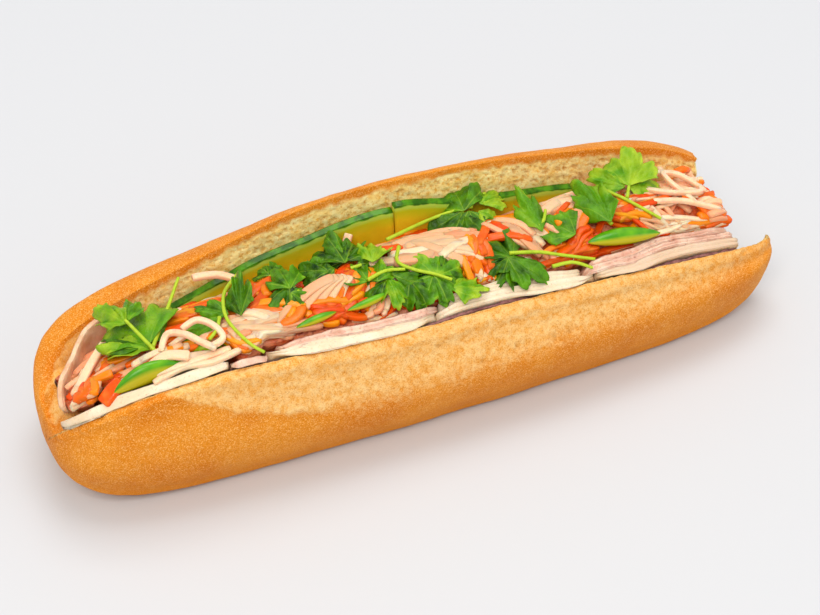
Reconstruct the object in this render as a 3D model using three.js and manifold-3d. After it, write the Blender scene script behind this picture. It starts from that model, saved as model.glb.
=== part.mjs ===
// A banh mi: one hinged roll, split along its top, filled with sliced pork roll and ham, pate,
// cucumber, green chilli, pickled carrot and daikon, and sprigs of coriander.
// Millimetres. x runs along the roll, y across it with the front half at -y, z up from the table.
import * as THREE from "three";
import Module from "manifold-3d";

const wasm = await Module();
wasm.setup();

// ---- Driving dimensions ----
const ROLL_LENGTH = 279;
const CENTRE_Y = -5; // line of the roll's middle, so that its box is centred on the origin
const BOW = 6.5; // both tips lie this far in front of the middle
const SKEW = 4.5; // and the right tip this much further, the left tip less
const EQUATOR_Z = 24; // height at which the roll is fattest
const FRONT_RIM_Y = -27;
const BACK_RIM_Y = 32;
const FRONT_RIM_Z = [57, 56, 48.5, 47.5, 44.5, 40]; // six even stations from the left tip
const BACK_RIM_Z = [52, 57, 65, 65, 61, 57.5];
const LIP = 1; // crust left at the front rim before the slot's wall falls away
const BACK_LIP = 3; // and at the back rim
const FRONT_WALL_SLOPE = 0.38; // how far the front wall leans in for each mm down
const HINGE = 14; // bread under the slot
const SLOT_ENDS = [-0.972, 0.985];
const TORN_END_X = 122; // the back half is torn off here, the front half runs on to the tip
const GAP = 0.35; // air between neighbours
const SLICE = 3;
const HAM = 1.8;
const PATE = 1.3;
const SKY = 95; // well above everything
const FACING = THREE.MathUtils.degToRad(-24); // the sprigs are laid to be seen from the front left

const FOOD = {
  bread: ["#c8873a", 0.75],
  porkRoll: ["#e6d9bd", 0.5],
  ham: ["#dfb3a3", 0.45],
  pate: ["#7a4440", 0.6],
  cucumber: ["#8fa42e", 0.35],
  chilli: ["#4f9a1c", 0.3],
  pickle: ["#ec8f4a", 0.4],
  coriander: ["#3f8f2c", 0.5],
};

// ---- Small helpers for numbers and curves ----
const clamp = THREE.MathUtils.clamp;
const lerp = THREE.MathUtils.lerp;
const smooth = THREE.MathUtils.smoothstep;
const vec = (x, y, z) => new THREE.Vector3(x, y, z);

// A value that follows a smooth curve through evenly spaced ones, for t from 0 to 1.
function through(values, t) {
  const curve = new THREE.SplineCurve(values.map((value, i) => new THREE.Vector2(i, value)));
  return curve.getPoint(clamp(t, 0, 1)).y;
}

const profile = (values, u) => through(values, (u + 1) / 2);

// The same even random numbers on every run.
function randomFrom(seed) {
  let state = seed;
  return () => {
    state = (state + 0x6d2b79f5) | 0;
    let mixed = Math.imul(state ^ (state >>> 15), 1 | state);
    mixed = (mixed + Math.imul(mixed ^ (mixed >>> 7), 61 | mixed)) ^ mixed;
    return ((mixed ^ (mixed >>> 14)) >>> 0) / 4294967296;
  };
}

// ---- Solids ----
function solidFrom(points, triangles) {
  const vertProperties = new Float32Array(points.flatMap((p) => [p.x, p.y, p.z]));
  const triVerts = new Uint32Array(triangles.flat());
  const made = new wasm.Manifold(new wasm.Mesh({ numProp: 3, vertProperties, triVerts }));
  return made.volume() < 0 ? solidFrom(points, triangles.map(([a, b, c]) => [a, c, b])) : made;
}

// A closed skin over rings of equally many points, with a fan over each end.
function loft(rings, startTip, endTip) {
  const count = rings[0].length;
  const points = rings.flat();
  const triangles = [];
  for (let i = 0; i + 1 < rings.length; i++) {
    for (let k = 0; k < count; k++) {
      const a = i * count + k;
      const b = i * count + ((k + 1) % count);
      triangles.push([a, b, b + count], [a, b + count, a + count]);
    }
  }
  const middle = (ring) => ring.reduce((sum, p) => sum.clone().add(p), vec(0, 0, 0)).divideScalar(count);
  const start = points.push(startTip ?? middle(rings[0])) - 1;
  const end = points.push(endTip ?? middle(rings[rings.length - 1])) - 1;
  const last = (rings.length - 1) * count;
  for (let k = 0; k < count; k++) {
    const next = (k + 1) % count;
    triangles.push([start, next, k], [end, last + k, last + next]);
  }
  return solidFrom(points, triangles);
}

// A plate between two grids of points, both faces split alike, with a wall round its edge.
function plate(columns, rows, frontPoint, backPoint) {
  const points = [];
  const triangles = [];
  const index = (side, i, j) => side * (columns + 1) * (rows + 1) + i * (rows + 1) + j;
  for (const pointAt of [frontPoint, backPoint]) {
    for (let i = 0; i <= columns; i++) {
      for (let j = 0; j <= rows; j++) points.push(pointAt(i / columns, j / rows));
    }
  }
  for (let i = 0; i < columns; i++) {
    for (let j = 0; j < rows; j++) {
      const [a, b, c, d] = [index(0, i, j), index(0, i + 1, j), index(0, i + 1, j + 1), index(0, i, j + 1)];
      const [e, f, g, h] = [index(1, i, j), index(1, i + 1, j), index(1, i + 1, j + 1), index(1, i, j + 1)];
      triangles.push([a, b, c], [a, c, d], [e, g, f], [e, h, g]);
    }
  }
  const edge = [];
  for (let i = 0; i < columns; i++) edge.push([i, 0]);
  for (let j = 0; j < rows; j++) edge.push([columns, j]);
  for (let i = columns; i > 0; i--) edge.push([i, rows]);
  for (let j = rows; j > 0; j--) edge.push([0, j]);
  edge.forEach(([i, j], k) => {
    const [m, n] = edge[(k + 1) % edge.length];
    const [a, b, c, d] = [index(0, i, j), index(0, m, n), index(1, m, n), index(1, i, j)];
    triangles.push([b, a, d], [b, d, c]);
  });
  return solidFrom(points, triangles);
}

// A strip or a stem along a path: four-sided, its width lying across the path and level.
function strip(path, width, thickness, steps, grow = 0) {
  const curve = new THREE.CatmullRomCurve3(path, false, "centripetal");
  const reach = steps * 2;
  const rings = [];
  for (let i = 0; i <= steps; i++) {
    const t = i / steps;
    const along = curve.getTangent(t);
    const across = vec(-along.y, along.x, 0.0001).normalize().multiplyScalar(width / 2 + grow);
    const up = across.clone().cross(along).normalize().multiplyScalar(-thickness / 2 - grow);
    const taper = i % steps === 0 && reach > 2 ? 0.8 : 1;
    const at = curve.getPoint(t).addScaledVector(along, grow * (i === 0 ? -1 : i === steps ? 1 : 0));
    rings.push([
      at.clone().addScaledVector(across, taper).addScaledVector(up, taper),
      at.clone().addScaledVector(across, -taper).addScaledVector(up, taper),
      at.clone().addScaledVector(across, -taper).addScaledVector(up, -taper),
      at.clone().addScaledVector(across, taper).addScaledVector(up, -taper),
    ]);
  }
  return loft(rings);
}

// The solid with its corners on a grid, so that cutting leaves none almost on top of another,
// or nothing if an edge then has more or fewer than two faces.
function onGrid(solid, grid) {
  const { vertProperties, triVerts, numProp, numVert } = solid.getMesh();
  const points = [];
  const places = new Map();
  const corners = Array.from({ length: numVert }, (_, i) => {
    const at = [0, 1, 2].map((axis) => Math.round(vertProperties[numProp * i + axis] / grid) * grid);
    const place = at.join();
    if (!places.has(place)) places.set(place, points.push(vec(...at)) - 1);
    return places.get(place);
  });
  const faces = new Map();
  for (let i = 0; i < triVerts.length; i += 3) {
    const face = [corners[triVerts[i]], corners[triVerts[i + 1]], corners[triVerts[i + 2]]];
    if (new Set(face).size < 3) continue;
    const place = [...face].sort().join();
    if (!faces.delete(place)) faces.set(place, face); // two faces back to back cancel out
  }
  const edges = new Map();
  for (const face of faces.values()) {
    face.forEach((corner, k) => {
      const ends = [corner, face[(k + 1) % 3]].sort().join();
      edges.set(ends, (edges.get(ends) ?? 0) + 1);
    });
  }
  return [...edges.values()].every((count) => count === 2) ? solidFrom(points, [...faces.values()]) : null;
}

const GRIDS = [0.04, 0.05, 0.03, 0.025, 0.06, 0.02, 0.035, 0.015, 0.01];

function tidy(solid) {
  for (const grid of GRIDS) {
    const made = onGrid(solid, grid);
    if (made) return made;
  }
  return solid;
}

const largest = (solid) => {
  const bodies = solid.decompose();
  return bodies.reduce((best, body) => (body.volume() > best.volume() ? body : best), bodies[0]);
};

// ---- The roll ----
// How much of the section is left at u, from -1 at the left tip to 1 at the right: it narrows
// gently towards the tips and then closes in a round end. A negative narrowing widens it.
function remaining(u, narrowing, bluntness) {
  const w = Math.min(Math.abs(u), 1);
  return (1 - narrowing * w * w) * Math.pow(1 - Math.pow(w, bluntness), 1 / 2.2);
}

const centreLine = (u) => CENTRE_Y - BOW * u * u - SKEW * u;

// A point of the section, given for the fattest place, moved to where it lies at u.
function onRoll(u, y, z) {
  const side = Math.sign(u);
  const across = y < 0 ? remaining(u, 0.38 + 0.06 * side, 10) : remaining(u, 0.01 - 0.09 * side, 14 - 3 * side);
  const upright = z < EQUATOR_Z ? remaining(u, 0, 7.3) : remaining(u, 0.3, 8);
  return vec((u * ROLL_LENGTH) / 2, centreLine(u) + y * across, EQUATOR_Z + (z - EQUATOR_Z) * upright);
}

const frontRim = (u) => onRoll(u, FRONT_RIM_Y, profile(FRONT_RIM_Z, u));
const backRim = (u) => onRoll(u, BACK_RIM_Y, profile(BACK_RIM_Z, u));

function rollSection(u) {
  const front = profile(FRONT_RIM_Z, u);
  const back = profile(BACK_RIM_Z, u);
  const outline = [
    [FRONT_RIM_Y, front],
    [-30.5, front - 7.5],
    [-36, 25],
    [-30, 7],
    [-21, 0],
    [20, 0],
    [38, 7],
    [46, 28],
    [44, 50],
    [BACK_RIM_Y, back],
    [14, back - 0.5],
    [-8, back - 3.5],
  ];
  const curve = new THREE.CatmullRomCurve3(
    outline.map(([y, z]) => onRoll(u, y, z)),
    true,
    "catmullrom",
    0.5,
  );
  const around = outline.length * 3;
  return Array.from({ length: around }, (_, i) => {
    const point = curve.getPoint(i / around);
    return vec(point.x, point.y, Math.max(point.z, 0));
  });
}

// Places along the roll, closer together where the ends close.
const ROLL_STATIONS = [0, 0.1, 0.2, 0.3, 0.4, 0.5, 0.6, 0.7, 0.78, 0.85, 0.9, 0.94, 0.965, 0.985, 0.996];
const bothWays = (stations) => [...stations.slice(1).reverse().map((w) => -w), ...stations];

function slotFloor(u) {
  const rim = frontRim(u).z;
  const left = lerp(HINGE, rim - 5, smooth(-u, 0.78, 0.97));
  return u < 0 ? left : Math.min(HINGE + 7 * smooth(u, 0.82, 0.98), rim - 5);
}

// The slot that the filling lies in, drawn in on every side by the clearance.
function slot(clearance) {
  const inside = ROLL_STATIONS.filter((w) => w < 0.97);
  const stations = [SLOT_ENDS[0], ...bothWays(inside), SLOT_ENDS[1]];
  const section = (u, x) => {
    const front = frontRim(u);
    const back = backRim(u);
    const fy = front.y + LIP + clearance;
    const by = back.y - BACK_LIP - clearance;
    const floor = slotFloor(u) + clearance;
    const heel = Math.min(floor + 8, front.z - 1 + clearance);
    const foot = fy + FRONT_WALL_SLOPE * (front.z - heel);
    return [
      vec(x, front.y - 14 + clearance, SKY),
      vec(x, fy, front.z + 0.6),
      vec(x, foot, heel),
      vec(x, lerp(foot, by, 0.2), floor + 1.5),
      vec(x, lerp(foot, by, 0.45), floor),
      vec(x, lerp(foot, by, 0.7), floor + 2),
      vec(x, by - 4, lerp(floor, back.z, 0.34)),
      vec(x, by - 2, lerp(floor, back.z, 0.72)),
      vec(x, by, back.z + 1.5),
      vec(x, by, SKY),
    ];
  };
  const xOf = (u) => (u * ROLL_LENGTH) / 2;
  const rings = stations.map((u) => section(u, xOf(u)));
  rings[0] = section(SLOT_ENDS[0], xOf(SLOT_ENDS[0]) + clearance);
  rings.push(section(SLOT_ENDS[1], ROLL_LENGTH / 2 + 6));
  return loft(rings);
}

// What is missing behind the front half's tip: all bread past a ragged, torn face.
function tornAway(clearance) {
  const edge = [0, 2.5, -1.5, 3, 4, 1, 2, -1, 0];
  const innerY = frontRim(0.93).y + 8;
  const face = edge.map((bite, i) => vec(TORN_END_X + bite - clearance, lerp(innerY, 60, i / (edge.length - 1)), 0));
  const outline = [...face, vec(ROLL_LENGTH / 2 + 10, 60, 0), vec(ROLL_LENGTH / 2 + 10, innerY + 4, 0)];
  const lift = (z, lean) => outline.map((p) => vec(p.x + lean, p.y, z));
  return loft([lift(-5, -2), lift(22, 1), lift(40, -1), lift(SKY, 2)]);
}

const rollSkin = loft(bothWays(ROLL_STATIONS).map(rollSection), onRoll(-1, 0, EQUATOR_Z), onRoll(1, 0, EQUATOR_Z));
const bread = tidy(largest(rollSkin.subtract(slot(0)).subtract(tornAway(0))));
const room = slot(GAP);

// ---- Slices that stand against the front wall ----
// The face of the front wall at height z, for x along the roll.
function wallY(x, z) {
  const rim = frontRim(clamp((2 * x) / ROLL_LENGTH, -0.97, 0.97));
  return rim.y + LIP + FRONT_WALL_SLOPE * Math.max(rim.z - z, -1.5);
}

// A slice on edge: it starts this deep off the wall, its top stands this far over the rim and
// arches down towards its two ends.
function standingSlice({ from, to, depth, thick, over, drop = 26, arch = 2, wave = 0.3, phase = 0 }, grow = 0) {
  const [x0, x1] = [from - grow, to + grow];
  const columns = clamp(Math.round((to - from) / 7), 6, 20);
  const faceAt = (offset) => (s, t) => {
    const x = lerp(x0, x1, s);
    const rim = frontRim(clamp((2 * x) / ROLL_LENGTH, -0.975, 0.975));
    const ends = Math.pow(Math.abs(2 * s - 1), 4);
    const top = rim.z + over + grow - arch * ends;
    const bottom = Math.max(rim.z - drop, slotFloor(rim.x / (ROLL_LENGTH / 2)) + 9.5) - grow;
    const z = lerp(Math.min(bottom, top - 3), top, t);
    const ripple = wave * Math.sin(x * 0.21 + phase) * (z > rim.z - 8 ? 1 : 0.4);
    return vec(x, wallY(x, z) + offset + Math.max(ripple, -0.2), z);
  };
  return plate(columns, 2, faceAt(depth - grow), faceAt(depth + thick + grow));
}

const BETWEEN = GAP + 0.05; // slices that lie side by side keep a little more than their gap
const LAYER_1 = 2 * BETWEEN;
const LAYER_2 = LAYER_1 + PATE + BETWEEN;
const LAYER_3 = LAYER_2 + SLICE + BETWEEN;
const LAYER_4 = LAYER_3 + SLICE + BETWEEN;

const standing = {
  pate: { from: -128, to: 124, depth: LAYER_1, thick: PATE, over: 0, drop: 22, arch: 1.5, wave: 0 },
  pork_roll_1: { from: -134.5, to: -78, depth: LAYER_2, thick: SLICE, over: 3, arch: 1.5 },
  pork_roll_2: { from: -64, to: -2.5, depth: LAYER_2, thick: SLICE, over: 3.6, arch: 3.4, phase: 2 },
  pork_roll_3: { from: -2, to: 59, depth: LAYER_2, thick: SLICE, over: 3.4, arch: 3 },
  pork_roll_4: { from: 0, to: 54, depth: LAYER_3, thick: SLICE, over: 4.2, arch: 2 },
  pork_roll_5: { from: 59.5, to: 121, depth: LAYER_2, thick: SLICE, over: 3.2, arch: 1 },
  pork_roll_6: { from: -117, to: -79, depth: LAYER_4, thick: SLICE, over: 4, arch: 3, phase: 1 },
  ham_1: { from: -77.5, to: -64.5, depth: LAYER_2, thick: HAM, over: 2.6, arch: 1.5, wave: 0.5, phase: 3.9 },
  ham_2: { from: -60, to: -1, depth: LAYER_3, thick: HAM, over: 4.6, arch: 3, phase: 3 },
  ham_3: { from: 55, to: 119.5, depth: LAYER_3, thick: HAM, over: 4.4, arch: 1.5, phase: 1 },
  ham_4: { from: 58, to: 118.5, depth: LAYER_3 + HAM + GAP, thick: HAM, over: 5.6, arch: 2.5, phase: 2 },
};

// A ham slice folded down the left end, between the crumb and the pickles.
const HAM_FOLD = [
  [-104, 19],
  [-116, 13],
  [-124, 5],
  [-129, -3],
  [-131, -9],
];

function foldedHam(grow = 0) {
  const curve = new THREE.SplineCurve(HAM_FOLD.map(([x, y]) => new THREE.Vector2(x, y)));
  const faceAt = (offset) => (s, t) => {
    const at = curve.getPoint(s);
    const side = curve.getTangent(s);
    const top = lerp(50, 42, s * s) + 1.2 * Math.sin(s * 11) + grow;
    const z = lerp(Math.max(28, slotFloor((2 * at.x) / ROLL_LENGTH) + 2.5) - grow, top, t);
    const out = offset + 1.5 * (t - 0.5) + 0.5 * Math.sin(s * 9);
    const end = grow * (2 * s - 1);
    return vec(at.x + side.y * out + side.x * end, at.y - side.x * out + side.y * end, z);
  };
  return plate(10, 3, faceAt(-grow), faceAt(HAM + grow));
}

// ---- Cucumber: long slices that lean on the back wall, skin edge up ----
const CUCUMBER = 2.6;
const CUCUMBER_DEPTH = BACK_LIP + 1.8; // from the back rim to its back face
const CUCUMBER_HEIGHT = 22;
const cucumbers = {
  cucumber_1: { from: -90, to: -63, below: [9.6, 9, 7.9] },
  cucumber_2: { from: -62, to: 1, below: [7.6, 8.3, 6.6] },
  cucumber_3: { from: 1.6, to: 74, below: [4.8, 9.8, 11.2, 10.6] },
};

function leaningCucumber({ from, to, below }, grow = 0) {
  const columns = Math.max(6, Math.round((to - from) / 7));
  const faceAt = (offset) => (s, t) => {
    const x = lerp(from - grow, to + grow, s);
    const rim = backRim((2 * x) / ROLL_LENGTH);
    const ends = Math.pow(Math.abs(2 * s - 1), 5);
    const high = rim.z - through(below, s) - ends + grow;
    const z = lerp(high - CUCUMBER_HEIGHT - 2 * grow, high, t);
    return vec(x, rim.y - offset - 0.1 * (rim.z - z), z);
  };
  return plate(columns, 2, faceAt(CUCUMBER_DEPTH - grow), faceAt(CUCUMBER_DEPTH + CUCUMBER + grow));
}

// ---- Chilli: curved wedges cut lengthwise, thick in the middle and pointed at both ends ----
const chillies = {
  chilli_1: { path: [vec(-117, -20.5, 51.5), vec(-106, -17, 58), vec(-91, -20, 53.5)], high: 7.5, wide: 4.4 },
  chilli_2: { path: [vec(-52, -20.5, 55.8), vec(-44, -20, 56.6), vec(-37, -19.5, 56.4)], high: 3, wide: 3 },
  chilli_3: { path: [vec(-33, -20, 56), vec(-24, -19.5, 56), vec(-16.5, -18, 56.4)], high: 3, wide: 3 },
  chilli_4: { path: [vec(59.5, -18, 55.5), vec(74, -17, 55), vec(88.5, -21, 50.6)], high: 6, wide: 7.5 },
};

function chilliWedge({ path, high, wide }, grow = 0) {
  const curve = new THREE.QuadraticBezierCurve3(...path);
  const rings = [];
  const steps = 9;
  for (let i = 0; i <= steps; i++) {
    const t = i / steps;
    const full = 0.18 + 0.82 * Math.pow(Math.sin(Math.PI * t), 0.7);
    const at = curve.getPoint(t);
    const ring = [];
    for (let k = 0; k < 7; k++) {
      const a = (k / 7) * 2 * Math.PI;
      const y = ((wide / 2) * full + grow) * Math.cos(a);
      const z = ((high / 2) * full + grow) * Math.sin(a);
      ring.push(vec(at.x + grow * (2 * t - 1), at.y + y, at.z + z));
    }
    rings.push(ring);
  }
  return loft(rings);
}

// ---- The pickle heap ----
// The height of the heap: just over the slices in front, highest along its ridge, and sinking
// towards the cucumber behind.
const RIDGE_Z = [40, 53, 56, 55, 52, 43];
const BELOW_BACK_RIM = [8, 15, 25, 25, 18, 9];

function heapZ(x, y) {
  const u = clamp((2 * x) / ROLL_LENGTH, -0.985, 0.985);
  const front = frontRim(u);
  const back = backRim(u);
  const ridge = Math.min(profile(RIDGE_Z, u), Math.max(front.z, back.z) + 8);
  const behind = back.z - profile(BELOW_BACK_RIM, u);
  const across = [front.z - 2, front.z + 3, ridge, ridge - 2, lerp(ridge - 2, behind, 0.6), behind];
  return through(across, (y - front.y) / (back.y - front.y));
}

const HEAP_ENDS = [-131, 118];

// How deep the slices stand off the front wall at x, and where the back of the heap is free.
function stackDepth(x) {
  const here = Object.values(standing).filter(({ from, to }) => x > from - 5 && x < to + 5);
  return Math.max(BETWEEN, ...here.map(({ depth, thick }) => depth + thick + BETWEEN)) + 0.3;
}

function backDepth(x) {
  const covered = Object.values(cucumbers).some(({ from, to }) => x > from - 6 && x < to + 6);
  return covered ? CUCUMBER_DEPTH + CUCUMBER + BETWEEN : BACK_LIP + 1.5;
}

function heapCore() {
  const columns = 20;
  const rows = 5;
  const place = (s) => {
    const x = lerp(HEAP_ENDS[0], HEAP_ENDS[1], s);
    return [x, (2 * x) / ROLL_LENGTH, stackDepth(x), backDepth(x)];
  };
  const topAt = (s, t) => {
    const [x, u, stack, behind] = place(s);
    const y = lerp(wallY(x, frontRim(u).z) + stack, backRim(u).y - behind - 1.6, t);
    return vec(x, y, heapZ(x, y) - 1.4);
  };
  const underAt = (s, t) => {
    const [x, u, stack, behind] = place(s);
    const floor = slotFloor(u) + 3;
    return vec(x, lerp(wallY(x, floor) + stack, backRim(u).y - behind - 7, t), floor + 4 * Math.pow(2 * t - 1, 2));
  };
  return plate(columns, rows, underAt, topAt);
}

// Shreds lie on the heap at any angle, half sunk in it. The large ones are placed by hand.
const SHREDS = 42;
const SHRED_WIDTH = 3;
const SHRED_THICKNESS = 2.4;

const placedShreds = [
  [vec(-98, -13, 57), vec(-93, -8, 59), vec(-89, -12, 60.5), vec(-87.5, -20, 59.6)],
  [vec(-88, -14, 60.4), vec(-83, -13, 61), vec(-80.5, -18, 60.4), vec(-83, -21.5, 59.2), vec(-89, -20, 59)],
  [vec(-76, 17, 56), vec(-67, 17, 54), vec(-60, 15, 50.5)],
  [vec(-17, 17, 55), vec(-20, 14, 51)],
  [vec(-112, 6, 49), vec(-120, -2, 48), vec(-127, -9, 45)],
  [vec(100, 8, 50), vec(109, 2, 51), vec(117, -6, 46)],
  [vec(92, -10, 53.4), vec(104, -13, 51.5), vec(117, -17, 46)],
  [vec(109, -19.5, 42.4), vec(115.5, -18.5, 42.6), vec(120.8, -18.5, 41)],
];

function scatteredShreds() {
  const random = randomFrom(11);
  const paths = [];
  for (let i = 0; i < SHREDS; i++) {
    const s = (i + 0.15 + 0.7 * random()) / SHREDS;
    const x = lerp(HEAP_ENDS[0] + 12, HEAP_ENDS[1] - 8, s);
    const u = (2 * x) / ROLL_LENGTH;
    const [near, far] = [frontRim(u).y + 13, backRim(u).y - 9];
    const y = lerp(near, far, (i * 0.618 + 0.12 * random()) % 1);
    const heading = Math.PI * (random() - 0.5) * 0.9;
    const half = 7 + 8 * random();
    const bend = (random() - 0.5) * 5;
    const lift = 0.2 + 1.5 * random();
    const pointAt = (t) => {
      const px = x + Math.cos(heading) * half * t - Math.sin(heading) * bend * (1 - t * t);
      const py = y + Math.sin(heading) * half * t + Math.cos(heading) * bend * (1 - t * t);
      const yy = clamp(py, near - 4, far + 5);
      return vec(px, yy, heapZ(px, yy) + lift * (1 - 0.4 * t * t));
    };
    paths.push([pointAt(-1), pointAt(0), pointAt(1)]);
  }
  return paths;
}

// ---- Coriander ----
// A leaf is a palm of three lobes in a thin, wavy plate. Its plane leans towards the front left,
// and its heading is counted from the right as seen from there.
const LEAF_THICKNESS = 0.9;
const STEM = 1.5;

function leafFrame(heading, lean) {
  const right = vec(Math.cos(FACING), Math.sin(FACING), 0);
  const normal = vec(0, 0, 1).applyAxisAngle(right, THREE.MathUtils.degToRad(lean));
  const back = normal.clone().cross(right);
  const a = THREE.MathUtils.degToRad(heading);
  const along = right.clone().multiplyScalar(Math.cos(a)).addScaledVector(back, Math.sin(a));
  return { along, across: normal.clone().cross(along), normal };
}

// Distance from the palm to the leaf's edge, as a share of its length: lobes ahead and at 80
// degrees to either side, notches between them, and a narrow base.
const leafEdge = (angle) =>
  0.78 * (0.36 + 0.64 * Math.pow(Math.cos(angle / 2), 1.6)) * (0.8 + 0.2 * Math.cos(4.5 * angle));

function leaf({ at, heading, length, spread, lean }, grow = 0) {
  const { along, across, normal } = leafFrame(heading, lean);
  const rays = length > 17 ? 18 : 9;
  const rings = length > 17 ? [0.55, 1] : [1];
  const palm = vec(...at).addScaledVector(along, 0.21 * length);
  const surface = (ring, angle) => {
    const reach = ring * (leafEdge(angle > Math.PI ? angle - 2 * Math.PI : angle) * length + grow);
    const wave = 0.035 * length * ring * ring * (1 + Math.sin(4.5 * angle + 1));
    return palm
      .clone()
      .addScaledVector(along, reach * Math.cos(angle))
      .addScaledVector(across, reach * Math.sin(angle) * spread)
      .addScaledVector(normal, wave);
  };
  const half = normal.clone().multiplyScalar(LEAF_THICKNESS / 2 + grow);
  const points = [];
  for (const side of [-1, 1]) {
    points.push(palm.clone().addScaledVector(half, side));
    for (const ring of rings) {
      for (let k = 0; k < rays; k++) {
        points.push(surface(ring, (k / rays) * 2 * Math.PI).addScaledVector(half, side));
      }
    }
  }
  const face = points.length / 2;
  const triangles = [];
  for (let k = 0; k < rays; k++) {
    const next = (k + 1) % rays;
    let [a, b] = [1 + k, 1 + next];
    triangles.push([0, b, a], [face, face + a, face + b]);
    for (let ring = 1; ring < rings.length; ring++) {
      const [c, d] = [b + rays, a + rays];
      triangles.push([a, b, c], [a, c, d], [face + a, face + c, face + b], [face + a, face + d, face + c]);
      [a, b] = [d, c];
    }
    triangles.push([a, b, face + b], [a, face + b, face + a]);
  }
  return solidFrom(points, triangles);
}

// Each sprig: its leaves from where they join the stem, and its stems by their paths.
const sprigs = {
  coriander_1: {
    leaves: [
      { at: [-100, -10, 55.1], heading: 132, length: 25, spread: 0.85, lean: 8 },
      { at: [-105, 2, 60.5], heading: 142, length: 18, spread: 0.7, lean: 18 },
    ],
    stems: [
      [vec(-99, -11, 54.8), vec(-105, 2, 60.5)],
      [vec(-100, -10, 55.2), vec(-88, 8, 55), vec(-81, 17, 58)],
    ],
  },
  coriander_2: {
    leaves: [{ at: [-73, -13, 58.7], heading: 74, length: 18, spread: 0.7, lean: 16 }],
    stems: [[vec(-59, 18, 50.6), vec(-69, 4, 57), vec(-73, -10, 59), vec(-70, -22, 57.6), vec(-66, -27, 55.6)]],
  },
  coriander_3: {
    leaves: [
      { at: [-74, -8, 58.3], heading: 161, length: 14, spread: 0.7, lean: 14 },
      { at: [-81, -18, 60], heading: 168, length: 14, spread: 0.9, lean: 10 },
    ],
    stems: [[vec(-75, -8, 58.5), vec(-78, -14, 59.6), vec(-82, -18, 60)]],
  },
  coriander_4: {
    leaves: [
      { at: [-51, 7, 55.6], heading: 144, length: 11, spread: 0.9, lean: 12 },
      { at: [-46, -8, 59.5], heading: 111, length: 15, spread: 0.9, lean: 22 },
      { at: [-46, -7, 59.5], heading: 257, length: 12, spread: 1.1, lean: 4 },
    ],
    stems: [[vec(-51, 7, 55.6), vec(-48, 0, 58.6), vec(-46, -8, 59.5)]],
  },
  coriander_5: {
    leaves: [
      { at: [-24, -4, 58.6], heading: 155, length: 20, spread: 0.7, lean: 10 },
      { at: [-24, -4, 59.6], heading: 118, length: 14, spread: 0.8, lean: 20 },
      { at: [-22, -5, 59], heading: 52, length: 15, spread: 0.9, lean: 8 },
    ],
    stems: [[vec(-25, -4, 59), vec(-21, -4, 59.2)]],
  },
  coriander_6: {
    leaves: [
      { at: [-21, -12, 59], heading: 183, length: 23, spread: 0.5, lean: 8 },
      { at: [-15, -11, 60.2], heading: 256, length: 15, spread: 0.9, lean: 2 },
      { at: [-9, -12, 59], heading: 290, length: 13, spread: 0.8, lean: 2 },
    ],
    stems: [[vec(-22, -12, 59.2), vec(-15, -11, 60), vec(-8, -12, 59)]],
  },
  coriander_7: {
    leaves: [
      { at: [0, -17, 57.4], heading: 62, length: 15, spread: 0.9, lean: 16 },
      { at: [4, -20, 57], heading: 201, length: 17, spread: 0.75, lean: 6 },
      { at: [5, -21, 56.4], heading: 352, length: 17, spread: 0.5, lean: 4 },
    ],
    stems: [[vec(-5, 0, 58.4), vec(-9, -8, 59.6), vec(-5, -13, 58.6), vec(1, -17, 57.6), vec(6, -21, 56.4)]],
  },
  coriander_8: {
    leaves: [
      { at: [27, 14, 54], heading: 103, length: 14, spread: 0.95, lean: 20 },
      { at: [29, 12, 54.6], heading: 228, length: 19, spread: 0.85, lean: 2 },
      { at: [30, 13, 54.6], heading: 30, length: 15, spread: 0.8, lean: 12 },
    ],
    stems: [[vec(-7, 6, 57.6), vec(9, 13, 53.6), vec(20, 15, 53), vec(30, 13, 54.4)]],
  },
  coriander_9: {
    leaves: [
      { at: [28, -16, 57], heading: 109, length: 15, spread: 0.8, lean: 18 },
      { at: [28, -16, 57], heading: 304, length: 20, spread: 0.95, lean: 4 },
    ],
    stems: [[vec(28, -17, 56.6), vec(43, -17, 57), vec(58, -22, 53.4)]],
  },
  coriander_10: {
    leaves: [
      { at: [45, -9, 58.6], heading: 106, length: 21, spread: 0.4, lean: 10 },
      { at: [51, -4, 58.4], heading: 308, length: 19, spread: 0.85, lean: 6 },
    ],
    stems: [[vec(45, -10, 58.4), vec(48, -8, 58.6), vec(51, -3.4, 58.4)]],
  },
  coriander_11: {
    leaves: [{ at: [71, -15, 56], heading: 126, length: 26, spread: 0.6, lean: 18 }],
    stems: [[vec(71, -17, 55.4), vec(69, -11, 56.8)]],
  },
  coriander_12: {
    leaves: [
      { at: [87, -1, 56], heading: 81, length: 20, spread: 0.95, lean: 26 },
      { at: [86, 0, 55.4], heading: 159, length: 14, spread: 0.8, lean: 22 },
      { at: [88, -1, 55.4], heading: 10, length: 14, spread: 0.9, lean: 22 },
    ],
    stems: [[vec(80, 8, 52), vec(86, 0, 55.6), vec(88, -10, 56), vec(91, -18, 53)]],
  },
};

function sprig({ leaves, stems }, grow = 0) {
  const pieces = [
    ...leaves.map((one) => leaf(one, grow)),
    ...stems.map((path) => strip(path, STEM, STEM, path.length > 2 ? 6 : 1, grow)),
  ];
  return largest(pieces.reduce((joined, piece) => joined.add(piece)));
}

// ---- Putting it together: each piece gives way to the ones named before it ----
const taken = [];

function giveWay(made, grown) {
  const cut = taken.reduce((rest, other) => rest.subtract(other), made);
  taken.push(grown);
  return largest(tidy(largest(cut)));
}

const group = new THREE.Group();

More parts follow.
